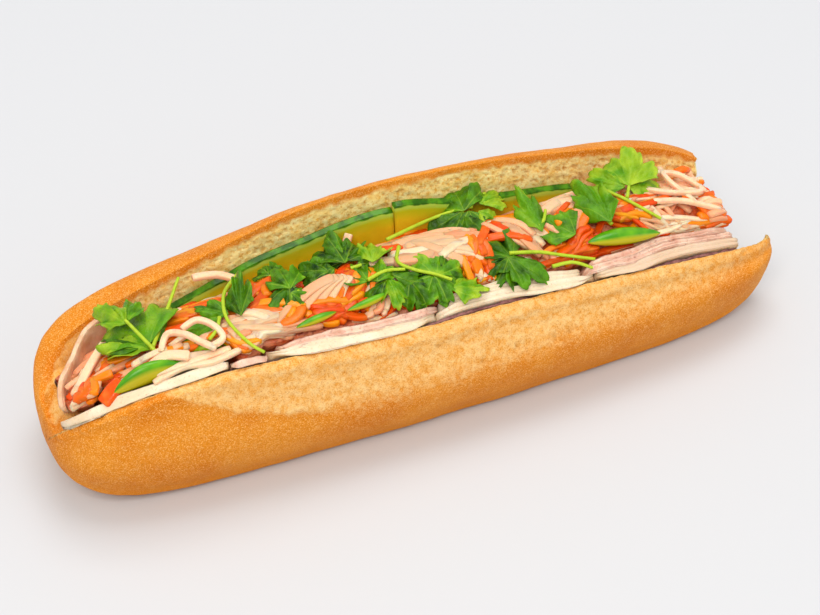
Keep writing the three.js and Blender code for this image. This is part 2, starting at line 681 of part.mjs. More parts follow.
function addNode(name, solid, [colour, roughness]) {
  const mesh = solid.getMesh();
  const geometry = new THREE.BufferGeometry();
  geometry.setAttribute("position", new THREE.BufferAttribute(mesh.vertProperties, 3));
  geometry.setIndex(new THREE.BufferAttribute(mesh.triVerts, 1));
  geometry.computeVertexNormals();
  const material = new THREE.MeshStandardMaterial({ color: colour, roughness, metalness: 0 });
  const made = new THREE.Mesh(geometry, material);
  made.name = name;
  group.add(made);
}

addNode("bread", bread, FOOD.bread);

for (const [name, spec] of Object.entries(standing)) {
  const food = name.startsWith("ham") ? FOOD.ham : name === "pate" ? FOOD.pate : FOOD.porkRoll;
  addNode(name, giveWay(standingSlice(spec).intersect(room), standingSlice(spec, GAP)), food);
}
addNode("ham_5", giveWay(foldedHam().intersect(room), foldedHam(GAP)), FOOD.ham);

for (const [name, spec] of Object.entries(cucumbers)) {
  addNode(name, giveWay(leaningCucumber(spec).intersect(room), leaningCucumber(spec, GAP)), FOOD.cucumber);
}
for (const [name, spec] of Object.entries(chillies)) {
  addNode(name, giveWay(chilliWedge(spec).intersect(room), chilliWedge(spec, GAP)), FOOD.chilli);
}
for (const [name, spec] of Object.entries(sprigs)) {
  addNode(name, giveWay(sprig(spec).intersect(room), sprig(spec, GAP)), FOOD.coriander);
}

const shreds = [...placedShreds, ...scatteredShreds()].map((path) =>
  strip(path, SHRED_WIDTH, SHRED_THICKNESS, path.length > 3 ? 7 : 2),
);
const heap = shreds.reduce((joined, shred) => joined.add(shred), heapCore()).intersect(room);
addNode("pickle_heap", giveWay(heap, heap), FOOD.pickle);

export default group;
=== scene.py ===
"""A banh mi: one hinged roll filled with sliced pork roll, ham, pate, cucumber, green chilli,
pickled carrot and daikon, and sprigs of coriander. Shapes are worked out in millimetres."""

import math
import random

import bmesh
import bpy
from mathutils import Matrix, Vector, noise


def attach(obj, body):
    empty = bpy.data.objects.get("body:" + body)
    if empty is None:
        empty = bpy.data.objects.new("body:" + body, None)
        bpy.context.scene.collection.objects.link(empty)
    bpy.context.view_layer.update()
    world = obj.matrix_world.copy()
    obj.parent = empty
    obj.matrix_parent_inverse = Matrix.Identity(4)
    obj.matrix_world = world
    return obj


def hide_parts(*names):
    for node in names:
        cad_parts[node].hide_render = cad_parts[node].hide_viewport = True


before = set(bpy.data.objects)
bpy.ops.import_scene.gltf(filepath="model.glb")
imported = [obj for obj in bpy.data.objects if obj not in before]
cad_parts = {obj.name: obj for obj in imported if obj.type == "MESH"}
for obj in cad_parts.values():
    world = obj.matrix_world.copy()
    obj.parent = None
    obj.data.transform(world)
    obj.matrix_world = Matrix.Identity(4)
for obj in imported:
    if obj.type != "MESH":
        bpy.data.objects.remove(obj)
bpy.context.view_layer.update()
MM = 0.001

# ---- Camera, floor and light ----
# A long lens looks down on the sandwich from the front left. The floor is pale and the light
# comes from large soft boxes, so that shadows stay faint.


def linear(code):
    """The linear colour for an sRGB hex code."""
    values = [int(code[i : i + 2], 16) / 255 for i in (1, 3, 5)]
    return (*[v / 12.92 if v <= 0.04045 else ((v + 0.055) / 1.055) ** 2.4 for v in values], 1.0)


def add(tree, kind, inputs=None, output=0, **settings):
    """The output of a new shader node with its settings, each input given a value, a hex colour or
    another node's output."""
    node = tree.nodes.new("ShaderNode" + kind)
    for key, value in settings.items():
        setattr(node, key, value)
    for key, value in (inputs or {}).items():
        if isinstance(value, bpy.types.NodeSocket):
            tree.links.new(value, node.inputs[key])
        else:
            node.inputs[key].default_value = linear(value) if isinstance(value, str) else value
    return node.outputs[output]


def new_material(name, **values):
    """A material, its node tree and its main shader with these even values."""
    material = bpy.data.materials.new(name)
    material.use_nodes = True
    tree = material.node_tree
    shader = tree.nodes["Principled BSDF"]
    for key, value in values.items():
        shader.inputs[key.replace("_", " ")].default_value = value
    return material, tree, shader


def new_object(name, data):
    """A new object of the scene with this data."""
    made = bpy.data.objects.new(name, data)
    bpy.context.collection.objects.link(made)
    return made


def mesh_object(bm, name):
    """A new object whose mesh takes up the bmesh."""
    mesh = bpy.data.meshes.new(name)
    bm.to_mesh(mesh)
    bm.free()
    return new_object(name, mesh)


azimuth = math.radians(-24)
elevation = math.radians(44)
aim = Vector((0, -6, 25))
distance = 720
shift_right, shift_up = -3.08, 5.07
back = Vector(
    (
        math.sin(azimuth) * math.cos(elevation),
        -math.cos(azimuth) * math.cos(elevation),
        math.sin(elevation),
    )
)
right = Vector((math.cos(azimuth), math.sin(azimuth), 0))
up = back.cross(right)
camera = new_object("camera", bpy.data.cameras.new("camera"))
camera.data.lens = 87.24
camera.data.sensor_width = 36
camera.data.clip_start = 0.01
stand = Matrix((right, up, back)).transposed().to_4x4()
stand.translation = (aim + distance * back + shift_right * right + shift_up * up) * MM
camera.matrix_world = stand
bpy.context.scene.camera = camera
bpy.context.scene.view_settings.view_transform = "Standard"

bm = bmesh.new()
bmesh.ops.create_grid(bm, x_segments=1, y_segments=1, size=3)
floor = mesh_object(bm, "floor")
floor_paper, _, _ = new_material("white_paper", Base_Color=linear("#cbccce"), Roughness=0.9)
floor.data.materials.append(floor_paper)

world = bpy.data.worlds.new("studio")
bpy.context.scene.world = world
world.use_nodes = True
sky = world.node_tree.nodes["Background"]
sky.inputs["Color"].default_value = linear("#f4f6fa")
sky.inputs["Strength"].default_value = 0.7


def soft_box(name, place, size, watts, tint="#ffffff"):
    """A square light of this size in metres that faces the sandwich."""
    lamp = bpy.data.lights.new(name, "AREA")
    lamp.size = size
    lamp.energy = watts
    lamp.color = linear(tint)[:3]
    holder = new_object(name, lamp)
    holder.location = place
    holder.rotation_euler = (-Vector(place)).to_track_quat("-Z", "Y").to_euler()


soft_box("key", (-0.7, -1.0, 1.7), 1.0, 24, "#fff8ee")
soft_box("top", (0.3, 0.5, 2.1), 1.2, 20)
soft_box("fill", (1.6, -1.1, 0.9), 1.2, 4)

# ---- Bread ----
# One loft of C-shaped sections, crust outside and crumb in the slot, with the back half's right
# end torn off. Noise raises the crust and sinks pores into the crumb, and vertex attributes
# carry how much crust, paleness and pore there is.

LENGTH = 279
CENTRE_Y = -5
BOW, SKEW = 6.5, 4.5
EQUATOR_Z = 24
FRONT_Y, BACK_Y = -27, 32
FRONT_Z = (57, 56, 48.5, 47.5, 44.5, 40)
BACK_Z = (52, 57, 65, 65, 61, 57.5)
LIP, BACK_LIP = 1, 1.6
CREST = 0.3
WALL_SLOPE = 0.38
HINGE = 14
LEAST_DEPTH = 5
TORN_END_X = 122
WELD = 0.001


def clamp(value, low=0.0, high=1.0):
    return max(low, min(high, value))


def lerp(a, b, t):
    return a + (b - a) * t


def smooth(value, low, high):
    """0 up to low and 1 from high on, with a smooth step between."""
    t = clamp((value - low) / (high - low))
    return t * t * (3 - 2 * t)


def hermite(p0, p1, p2, p3, t):
    """The Catmull-Rom curve from p1 to p2."""
    a, b = (p2 - p0) * 0.5, (p3 - p1) * 0.5
    return (2 * p1 - 2 * p2 + a + b) * t**3 + (3 * p2 - 3 * p1 - 2 * a - b) * t * t + a * t + p1


def through(values, t, closed=False):
    """A smooth curve through evenly spaced numbers or points, for t from 0 to 1."""
    count = len(values)
    spans = count if closed else count - 1
    at = spans * (t if closed else clamp(t))
    i = min(math.floor(at), spans - 1)
    near = [k % count if closed else min(max(k, 0), count - 1) for k in range(i - 1, i + 3)]
    return hermite(*[values[k] for k in near], at - i)


def remaining(u, narrowing, bluntness):
    """The share of the full width or height that is left at u, from -1 to 1 along the roll."""
    w = min(abs(u), 1)
    return (1 - narrowing * w * w) * (1 - w**bluntness) ** (1 / 2.2)


def on_roll(u, y, z):
    """A point of the section, given for the fattest place, moved to where it lies at u."""
    hand = math.copysign(1, u)
    if y < 0:
        side = remaining(u, narrowing=0.38 + 0.06 * hand, bluntness=10)
    else:
        side = remaining(u, narrowing=0.01 - 0.09 * hand, bluntness=14 - 3 * hand)
    if z < EQUATOR_Z:
        upright = remaining(u, narrowing=0, bluntness=7.3)
    else:
        upright = remaining(u, narrowing=0.3, bluntness=8)
    middle = CENTRE_Y - BOW * u * u - SKEW * u
    return Vector((u * LENGTH / 2, middle + y * side, EQUATOR_Z + (z - EQUATOR_Z) * upright))


def u_at(x, last=1.0):
    """Where x lies along the roll, kept between -last and last."""
    return clamp(2 * x / LENGTH, -last, last)


def front_rim(u):
    return on_roll(u, FRONT_Y, through(FRONT_Z, (u + 1) / 2))


def back_rim(u):
    return on_roll(u, BACK_Y, through(BACK_Z, (u + 1) / 2))


def slot_floor(u):
    rim = front_rim(u).z
    if u < 0:
        return lerp(HINGE, rim - LEAST_DEPTH, smooth(-u, 0.78, 0.97))
    return min(HINGE + 7 * smooth(u, 0.82, 0.98), rim - LEAST_DEPTH)


# The points along the outside and each stretch of the inside, the sections along the roll, and how
# many corners the outline has, with the place of the back rim among them.
OUTSIDE = 108
INSIDE = (22, 14, 6, 4, 4, 4, 12)
COLUMNS = 330
CORNERS, BACK_RIM = 12, 9


def bread_ring(u):
    """The section's outline at u: points with how much crust each has. They go round the outside
    to the back rim, over its lip, down into the slot and up again to the front rim."""
    front, far = through(FRONT_Z, (u + 1) / 2), through(BACK_Z, (u + 1) / 2)
    outline = [
        (FRONT_Y, front),
        (-30.5, front - 7.5),
        (-36, 25),
        (-30, 7),
        (-21, 0),
        (20, 0),
        (38, 7),
        (46, 28),
        (44, 50),
        (BACK_Y, far),
        (14, far - 0.5),
        (-8, far - 3.5),
    ]
    control = [on_roll(u, y, z) for y, z in outline]
    ring = []
    for k in range(OUTSIDE + 1):
        point = through(control, BACK_RIM * k / OUTSIDE / CORNERS, closed=True)
        point.z = max(point.z, 0)
        ring.append((point, 1.0))
    rim_f, rim_b = front_rim(u), back_rim(u)
    foot_z = on_roll(u, 0, 0).z
    floor_z = max(slot_floor(u), lerp(foot_z, rim_f.z, 0.4))
    lip_share = BACK_LIP / (outline[BACK_RIM][0] - outline[BACK_RIM + 1][0])
    crest = through(control, (BACK_RIM + lip_share) / CORNERS, closed=True)
    top_b = Vector((rim_b.x, rim_b.y - BACK_LIP, crest.z))
    for k in (0.25, 0.5, 0.75):
        point = through(control, (BACK_RIM + k * lip_share) / CORNERS, closed=True)
        ring.append((point, 0.9))
    fy = rim_f.y + LIP
    heel = min(floor_z + 8, rim_f.z - 1)
    foot = fy + WALL_SLOPE * (rim_f.z - heel)
    path = [
        top_b,
        Vector((u, top_b.y - 2, lerp(floor_z, rim_b.z, 0.72))),
        Vector((u, top_b.y - 4, lerp(floor_z, rim_b.z, 0.34))),
        Vector((u, lerp(foot, top_b.y, 0.7), floor_z + 2)),
        Vector((u, lerp(foot, top_b.y, 0.45), floor_z)),
        Vector((u, lerp(foot, top_b.y, 0.2), floor_z + 1.5)),
        Vector((u, foot, heel)),
        Vector((u, fy, rim_f.z + CREST)),
    ]
    shut = smooth(-u, 0.972, 0.99)
    for a, b, count in zip(path, path[1:], INSIDE):
        for k in range(count):
            point = a.lerp(b, k / count)
            point.x = rim_f.x
            across = clamp((top_b.y - point.y) / max(top_b.y - fy, 0.01))
            deep = crest.z - point.z + 1.6 * noise.noise(point / 3)
            toasted = max(0.8 * (1 - smooth(deep, 1.5, 5.5)), 0.58 * smooth(-u, 0.45, 0.8))
            if across >= lerp(0.4, 1.1, smooth(-u, 0.8, 0.9)):
                toasted = 0
            point.z = lerp(point.z, lerp(crest.z, rim_f.z, across), shut)
            ring.append((point, max(shut, toasted)))
    ring.append((Vector((rim_f.x, fy, rim_f.z + CREST)), 0.5))
    return ring


def mapped_grid(bm, columns, rows, place):
    """A new grid of faces with each corner moved to where place(s, t) says, for s and t from
    0 to 1."""
    made = bmesh.ops.create_grid(bm, x_segments=columns, y_segments=rows, size=0.5)["verts"]
    for vert in made:
        vert.co = place(vert.co.x + 0.5, vert.co.y + 0.5)
    return made


def unit_grid(bm, columns, rows):
    """A flat grid of faces from (0, 0) to (1, 1), for shapes whose corners carry values too."""
    return mapped_grid(bm, columns, rows, lambda s, t: Vector((s, t, 0)))


def cap_ends(bm):
    bmesh.ops.holes_fill(bm, edges=[e for e in bm.edges if e.is_boundary], sides=0)


def close_up(bm, made):
    """Joins the seam and the pinched ends of a rolled grid, and caps what is still open."""
    bmesh.ops.remove_doubles(bm, verts=made, dist=WELD)
    cap_ends(bm)


# Seeded, so that the pores come out the same on every run.
noise.seed_set(5)


def pore(point, size, seed):
    """How deep in a pore the point is, from 0 to 1: pores differ in size and some are missing."""
    warped = point + 0.35 * size * noise.noise_vector(point / size)
    distances, centres = noise.voronoi((warped + Vector((seed, 0, 0))) / size)
    here = noise.cell(centres[0] * 7.3)
    reach = 0.28 + 0.3 * abs(here)
    return smooth(reach - distances[0], 0, reach * 0.7)


bm = bmesh.new()
crust_layer = bm.verts.layers.float.new("crust")
rings = []
for i in range(COLUMNS + 1):
    w = 2 * i / COLUMNS - 1
    rings.append(bread_ring(clamp(0.55 * w + 0.45 * math.sin(w * math.pi / 2), -1, 1)))
rows = len(rings[0])
for end in (0, -1):
    tip = on_roll(math.copysign(1, rings[end][0][0].x), 0, EQUATOR_Z)
    rings[end] = [(tip, 1.0)] * rows
for vert in unit_grid(bm, COLUMNS, rows):
    ring = rings[round(vert.co.x * COLUMNS)]
    vert.co, vert[crust_layer] = ring[round(vert.co.y * rows) % rows]
bmesh.ops.remove_doubles(bm, verts=bm.verts, dist=WELD)
bmesh.ops.recalc_face_normals(bm, faces=bm.faces)
bread = mesh_object(bm, "bread_crust_and_crumb")

# The torn end: a rough sheet across the back half, pushed out to the right as a cutter.
BITES = (0, 2.5, -1.5, 3, 6, 1, 2, -1, 0)
CUTTER_END_X = 155
inner_y = front_rim(0.93).y + 8


def torn_face(s, t):
    y, z = lerp(inner_y, 62, s), lerp(-6, 92, t)
    at = s * (len(BITES) - 1)
    i = min(int(at), len(BITES) - 2)
    bite = lerp(BITES[i], BITES[i + 1], at - i)
    lean = lerp(-2, 1, clamp((z + 5) / 27)) - 2 * clamp((z - 22) / 18) + 3 * clamp((z - 40) / 55)
    rough = 1.6 * noise.noise(Vector((y, z, 5)) / 5) + 0.8 * noise.noise(Vector((y, z, 9)) / 2)
    return Vector((TORN_END_X + bite + lean + rough, y, z))


bm = bmesh.new()
bm.verts.layers.float.new("crust")
mapped_grid(bm, 60, 90, torn_face)
pushed = bmesh.ops.extrude_face_region(bm, geom=bm.faces[:], use_keep_orig=True)["geom"]
for vert in [v for v in pushed if isinstance(v, bmesh.types.BMVert)]:
    vert.co.x = CUTTER_END_X
    vert.co.y += 4 * (1 - smooth(vert.co.y, inner_y, inner_y + 20))
bmesh.ops.recalc_face_normals(bm, faces=bm.faces)
cutter = mesh_object(bm, "cutter")
cut = bread.modifiers.new("torn end", "BOOLEAN")
cut.operation = "DIFFERENCE"
cut.solver = "FAST"
cut.object = cutter
torn_bread = bread.evaluated_get(bpy.context.evaluated_depsgraph_get())
bread_mesh = bpy.data.meshes.new_from_object(torn_bread)
bread.modifiers.clear()
bpy.data.objects.remove(cutter)
bread.data = bread_mesh

# Under the front rim the crust was stretched as it rose: a pale, wrinkled strip that reaches this
# far down along the roll. At its left end it stops at a ridge. A few bubbles have burst in it, each
# with its x, z and size.
PALE_REACH = (0, -3, 13, 19, 19, 18, 15, 12, 6, -2)
BURST = (
    (37.7, 32.2, 1.5),
    (43.9, 32.9, 1.2),
    (9.8, 32, 1.4),
    (23.7, 33.1, 1),
    (-5, 41, 1),
    (57.9, 33.8, 1),
)

bm = bmesh.new()
bm.from_mesh(bread_mesh)
crust_layer = bm.verts.layers.float["crust"]
pit_layer = bm.verts.layers.float.new("pit")
pale_layer = bm.verts.layers.float.new("pale")
bm.normal_update()
for vert in bm.verts:
    crust = vert[crust_layer]
    at = vert.co.copy()
    # How deep the crumb's pores go: this sinks them, and the material also paints them darker as painted
    # shade.
    pit = (1 - smooth(crust, 0.1, 0.9)) * clamp(pore(at, 2.3, 0) + 0.6 * pore(at, 1.3, 30))
    swell = 0.42 * noise.noise(at / 21) + 0.16 * noise.noise(at / 6)
    torn = 0.5 * noise.noise(at / 6) + 0.3 * noise.noise(at / 1.8)
    rim = front_rim(u_at(at.x, 0.985))
    if at.y < rim.y + LIP and crust > 0.3:
        below = rim.z - at.z
        reach = through(PALE_REACH, at.x / LENGTH + 0.5) + 1.5 * noise.noise(at / 4)
        soft = lerp(1.2, 7, smooth(at.x, -65, -30))
        pale = smooth(reach - below, -soft, soft) * smooth(at.x, -112, -94)
        ridge = math.exp(-(((reach - 0.5 - below) / 1.3) ** 2))
        ridge *= smooth(at.x, -102, -90) * smooth(at.x, -38, -60)
        wrinkle = noise.noise(Vector((at.x / 1.5, at.y / 4, at.z / 4))) + noise.noise(at / 2.6)
        swell += 0.75 * ridge + 0.34 * wrinkle * pale - 0.25 * pale
        # Each burst bubble is a dent, and its pit value paints it darker: painted shade.
        for x, z, size in BURST:
            dent = 1 - smooth(math.hypot(at.x - x, at.z - z) / size, 0.3, 1)
            swell -= 0.9 * dent
            pit = max(pit, 0.8 * dent)
        swell += 0.7 * noise.noise(at / 1.7) * (1 - smooth(below, 0.5, 2.5))
        # The ridge is painted paler than the strip around it: a painted highlight along its crest, on top
        # of the strip's own paleness.
        vert[pale_layer] = clamp(pale + 0.5 * ridge)
    vert[pit_layer] = pit
    keep = smooth(at.z, 0.3, 3)
    bare = 1 - smooth(crust, 0.2, 0.95)
    vert.co += vert.normal * keep * (crust * swell + bare * (torn - 0.55 * pit))
bmesh.ops.scale(bm, vec=(MM, MM, MM), verts=bm.verts)
bm.to_mesh(bread_mesh)
bm.free()
bread_mesh.shade_smooth()


def coordinate(tree, axis):
    """How far along this axis the point lies, in metres."""
    return add(tree, "SeparateXYZ", {"Vector": add(tree, "TexCoord", output="Object")}, axis)


def grain(tree, size, detail=3.0, rough=0.55):
    """Cloudy noise over the piece, with features of this size in millimetres."""
    place = add(tree, "TexCoord", output="Object")
    inputs = {"Vector": place, "Scale": 1 / (size * MM), "Detail": detail, "Roughness": rough}
    return add(tree, "TexNoise", inputs, "Fac")


def fading(tree, first, second, value, low, high, most=1.0):
    """The first colour, fading to this much of the second as the value runs from low to high."""
    inputs = {"Value": value, "From Min": low, "From Max": high, "To Max": most}
    share = add(tree, "MapRange", inputs)
    return add(tree, "Mix", {0: share, 6: first, 7: second}, 2, data_type="RGBA")


def clouded(tree, first, second, size, detail, low, high, most=1.0, rough=0.55):
    """The first colour with clouds of the second, where noise of this size runs from low to high."""
    return fading(tree, first, second, grain(tree, size, detail, rough), low, high, most)


def surface(tree, shader, colour, height, distance, strength):
    """Gives the shader its colour, and a relief that rises this far in millimetres."""
    inputs = {"Height": height, "Distance": distance * MM, "Strength": strength}
    tree.links.new(colour, shader.inputs["Base Color"])
    tree.links.new(add(tree, "Bump", inputs), shader.inputs["Normal"])


# Baked crust: golden with a dense fine grain, deeper orange in clouds and at the foot, where it is
# partly its own colour and partly painted light bounced up from below. Cream and mottled where it is
# stretched; along the ridge the extra paleness is a painted highlight. Crumb: cream, with small
# orange-brown spots, and pores painted darker as painted shade.
crust_and_crumb, tree, shader = new_material(
    "baked_crust_and_crumb", Roughness=0.6, Specular_IOR_Level=0.1
)
gold = clouded(tree, "#e68f20", "#d97a04", 24, 3, 0.36, 0.64)
fine = grain(tree, 0.45, 2, 0.6)
blotch = grain(tree, 2.6, 4, 0.7)
cream = fading(tree, "#e8a44a", "#f5ca86", blotch, 0.38, 0.64)
# The pale attribute: the stretched strip's own paleness, plus a painted highlight along the ridge.
pale = add(tree, "Attribute", output="Fac", attribute_name="pale")
mottled = add(tree, "Math", {0: pale, 1: blotch}, operation="ADD")
gold = fading(tree, gold, cream, mottled, 0.5, 1.5)
gold = fading(tree, gold, "#fbc87a", fine, 0.52, 0.68, 0.7)
gold = fading(tree, gold, "#bb6208", fine, 0.47, 0.3, 0.55)
# Towards the foot the crust turns deeper orange: partly its own bake, partly painted light bounced up from
# below.
gold = fading(tree, gold, "#e0860e", coordinate(tree, "Z"), 0.016, 0.004, 0.6)
crumb = clouded(tree, "#ffeda6", "#fed87e", 4, 3, 0.38, 0.66)
crumb = clouded(tree, crumb, "#e6a430", 1.5, 4, 0.5, 0.64, 0.8, 0.7)
crumb = clouded(tree, crumb, "#c88a2c", 0.9, 3, 0.6, 0.7, 0.5, 0.7)
crust = add(tree, "Attribute", output="Fac", attribute_name="crust")
pit = add(tree, "Attribute", output="Fac", attribute_name="pit")
baked = fading(tree, crumb, gold, crust, 0.35, 0.75)
# Pores and burst dents painted darker: painted shade.
baked = fading(tree, baked, "#c68024", pit, 0.2, 0.9, 0.6)
relief = add(tree, "Math", {0: fine, 1: blotch}, operation="ADD")
surface(tree, shader, baked, relief, 0.5, 0.8)
sheen = {"Value": crust, "From Min": 0.35, "From Max": 0.75, "To Min": 0.85, "To Max": 0.55}
tree.links.new(add(tree, "MapRange", sheen), shader.inputs["Roughness"])
bread_mesh.materials.clear()
bread_mesh.materials.append(crust_and_crumb)
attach(bread, "root")
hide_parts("bread")

# ---- Slices that stand against the front wall: pate, pork roll and ham ----
# Each is a soft-edged band on edge, a little wavy. It starts some depth off the wall, stands a few
# millimetres over the rim and leans over it, except where the pate shows.

GAP = 0.35
SLICE, HAM, PATE = 3, 1.8, 1.3
SLICE_DEPTH = 26
BETWEEN = GAP + 0.05
LAYER_1 = 2 * BETWEEN
LAYER_2 = LAYER_1 + PATE + BETWEEN
LAYER_3 = LAYER_2 + SLICE + BETWEEN
LAYER_4 = LAYER_3 + SLICE + BETWEEN

# Each slice: its ends along the roll, its depth off the wall, how thick it is, how far it stands over
# the rim and its ends drop, and its wave's height and phase.
STANDING = {
    "pate": (-128, 124, LAYER_1, PATE, 0, 1.5, 0, 0),
    "pork_roll_1": (-134.5, -78, LAYER_2, SLICE, 3, 1.5, 0.3, 0),
    "pork_roll_2": (-64, -2.5, LAYER_2, SLICE, 3.6, 3.4, 0.3, 2),
    "pork_roll_3": (-2, 59, LAYER_2, SLICE, 3.4, 3, 0.3, 0),
    "pork_roll_4": (0, 54, LAYER_3, SLICE, 4.2, 2, 0.3, 0),
    "pork_roll_5": (59.5, 121, LAYER_2, SLICE, 3.2, 1, 0.3, 0),
    "pork_roll_6": (-117, -79, LAYER_4, SLICE, 4, 3, 0.3, 1),
    "ham_1": (-77.5, -64.5, LAYER_2, HAM, 2.6, 1.5, 0.5, 3.9),
    "ham_2": (-60, -1, LAYER_3, HAM, 4.6, 3, 0.3, 3),
    "ham_3": (55, 119.5, LAYER_3, HAM, 4.4, 1.5, 0.3, 1),
    "ham_4": (58, 118.5, LAYER_3 + HAM + GAP, HAM, 5.6, 2.5, 0.3, 2),
}


def wall_y(x, z):
    rim = front_rim(u_at(x, 0.97))
    return rim.y + LIP + WALL_SLOPE * max(rim.z - z, -1.5)


def band_section(thick, slant, grooves=()):
    """The outline of a band on edge as (depth, share of the height, mm above that): up its front,
    over a top that slants up to the back, with grooves where thin slices meet, and down again."""
    outline = [(0, k / 6, 0) for k in range(1, 6)]
    outline += [(0, 1, -slant - 0.35), (0.1, 1, -slant - 0.1), (0.35, 1, -slant + 0.05)]
    for k in range(1, 12):
        deep = thick * k / 12
        nearest = min([abs(deep - groove) for groove in grooves] or [9])
        outline.append((deep, 1, -slant * (1 - k / 12) - 0.75 * (1 - smooth(nearest, 0, 0.28))))
    outline += [(thick - 0.25, 1, -0.02), (thick - 0.05, 1, -0.2), (thick, 1, -0.5)]
    return outline + [(thick, 1 - k / 6, 0) for k in range(1, 6)]


def outline_at(outline, t):
    return outline[round(t * len(outline)) % len(outline)]


def over_rim(x):
    """1 where the slices lean over the rim and hide the pate, 0 where it shows."""
    return 1 - smooth(x, -12, 4) * (1 - smooth(x, 22, 38)) - smooth(x, 72, 90) * (1 - smooth(x, 116, 126))


def standing_slice(bm, start, stop, depth, thick, over, arch, wave, phase, outline, rough):
    columns = max(8, int((stop - start) / 1.2))

    def place(s, t):
        x = lerp(start, stop, s)
        deep, share, above = outline_at(outline, t)
        rim = front_rim(u_at(x, 0.975))
        ends = abs(2 * s - 1) ** 4
        top = rim.z + over - arch * ends + 0.5 * noise.noise(Vector((x / 9, phase, depth)))
        top -= 0.9 * smooth(abs(2 * s - 1), 0.96, 1) + (2.5 * over_rim(x) if thick == PATE else 0)
        bottom = max(rim.z - SLICE_DEPTH, slot_floor(u_at(rim.x)) + 9.5)
        z = lerp(min(bottom, top - 5), top, share) + above
        ripple = wave * math.sin(x * 0.21 + phase) * (1 if z > rim.z - 8 else 0.4)
        fuzz = rough * noise.noise(Vector((x / 3, z / 3, depth * 7)))
        y = wall_y(x, z) + depth + deep + max(ripple, -0.2) + fuzz
        if thick > PATE:
            y -= lerp(3.2, 1.9, deep / thick) * over_rim(x) * smooth(z, rim.z - 1.5, rim.z + 1.5)
        return Vector((x, y, z + rough * noise.noise(Vector((x / 2.5, deep, phase)))))

    close_up(bm, mapped_grid(bm, columns, len(outline), place))


def finish_piece(bm, name, material, node):
    """Turns the bmesh into a smooth object in metres that stands for the node."""
    bmesh.ops.recalc_face_normals(bm, faces=bm.faces)
    bmesh.ops.scale(bm, vec=(MM, MM, MM), verts=bm.verts)
    piece = mesh_object(bm, name)
    piece.data.shade_smooth()
    piece.data.materials.append(material)
    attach(piece, "root")
    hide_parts(node)
    return piece


# Steamed pork roll: smooth, pale and moist, with tiny pores, and browner towards the right end.
pork_meat, tree, shader = new_material(
    "steamed_pork_roll",
    Roughness=0.42,
    Specular_IOR_Level=0.3,
    Subsurface_Weight=0.12,
    Subsurface_Scale=0.003,
)
tone = clouded(tree, "#f0dec2", "#e5caa6", 9, 3, 0.35, 0.65)
tone = fading(tree, tone, "#d3ae90", coordinate(tree, "X"), 0.05, 0.075, 0.6)
tone = clouded(tree, tone, "#d4b08c", 0.9, 3, 0.58, 0.75)
surface(tree, shader, tone, grain(tree, 1.1, 4), 0.25, 0.6)

# Cooked ham: thin and pink-grey, mottled, darker where fat and lean meet.
ham_meat, tree, shader = new_material(
    "sliced_ham", Roughness=0.38, Specular_IOR_Level=0.3, Subsurface_Weight=0.15, Subsurface_Scale=0.003
)
tone = clouded(tree, "#ebc8b0", "#d5a188", 5, 4, 0.36, 0.64)
tone = clouded(tree, tone, "#b87f6c", 1.5, 3, 0.56, 0.75)
surface(tree, shader, tone, grain(tree, 1.3, 4), 0.3, 0.6)

# Liver pate: dark, purple-brown, soft and coarse.
pate_paste, tree, shader = new_material("liver_pate", Roughness=0.5)
tone = clouded(tree, "#6e3a3c", "#9a6a66", 2.2, 4, 0.35, 0.65)
surface(tree, shader, tone, grain(tree, 1.2, 5), 0.6, 0.9)

# Where thin slices meet in a stack, and each meat's material, slant of the top and roughness.
GROOVES = {
    "pork_roll_2": (2.1,),
    "pork_roll_3": (1.5,),
    "pork_roll_4": (1.2, 2.2),
    "pork_roll_5": (1.7,),
    "ham_2": (0.9,),
    "ham_3": (0.9,),
    "ham_4": (0.8,),
}
MEATS = {
    "pate": (pate_paste, 0.6, 0.5),
    "pork_roll": (pork_meat, 2.2, 0.15),
    "ham": (ham_meat, 1.2, 0.3),
}
for node, spec in STANDING.items():
    slot = node.rstrip("_0123456789")
    material, slant, rough = MEATS[slot]
    bm = bmesh.new()
    outline = band_section(spec[3], slant, GROOVES.get(node, ()))
    standing_slice(bm, *spec, outline, rough)
    finish_piece(bm, node + "_slice", material, node)

# The ham slice folded down the left end, between the crumb and the pickles.
FOLD_CORNERS = ((-104, 19), (-116, 13), (-124, 5), (-129, -3), (-131, -9))
HAM_FOLD = [Vector((x, y, 0)) for x, y in FOLD_CORNERS]
FOLD_OUTLINE = band_section(HAM, 0.5)


def folded_ham(s, t):
    deep, share, above = outline_at(FOLD_OUTLINE, t)
    at = through(HAM_FOLD, s)
    side = (through(HAM_FOLD, min(s + 0.01, 1)) - through(HAM_FOLD, max(s - 0.01, 0))).normalized()
    top = lerp(48, 41, s * s) + 1.2 * math.sin(s * 11) + 0.7 * noise.noise(Vector((s * 9, 3, 0)))
    low = max(28, slot_floor(u_at(at.x)) + 2.5)
    out = deep + 1.5 * (share - 0.5) + 0.5 * math.sin(s * 9)
    return Vector((at.x + side.y * out, at.y - side.x * out, lerp(low, top, share) + above))


# The fold is tanner than the standing slices, and wetter.
tan_ham, tree, shader = new_material(
    "tan_ham", Roughness=0.3, Specular_IOR_Level=0.3, Subsurface_Weight=0.2, Subsurface_Scale=0.003
)
tone = clouded(tree, "#eec8a2", "#dca87e", 5, 4, 0.36, 0.64)
surface(tree, shader, tone, grain(tree, 1.6, 4), 0.4, 0.8)

bm = bmesh.new()
close_up(bm, mapped_grid(bm, 36, len(FOLD_OUTLINE), folded_ham))
finish_piece(bm, "ham_5_folded", tan_ham, "ham_5")

# ---- Cucumber ----
# Long slices lean on the crumb behind, skin edge up. The flesh is wet and yellow-green, more golden
# to the right and greener near the skin, which is dark green with a pale line under it.

CUCUMBER = 2.6
CUCUMBER_DEPTH = 4.8
CUCUMBER_HEIGHT = 22

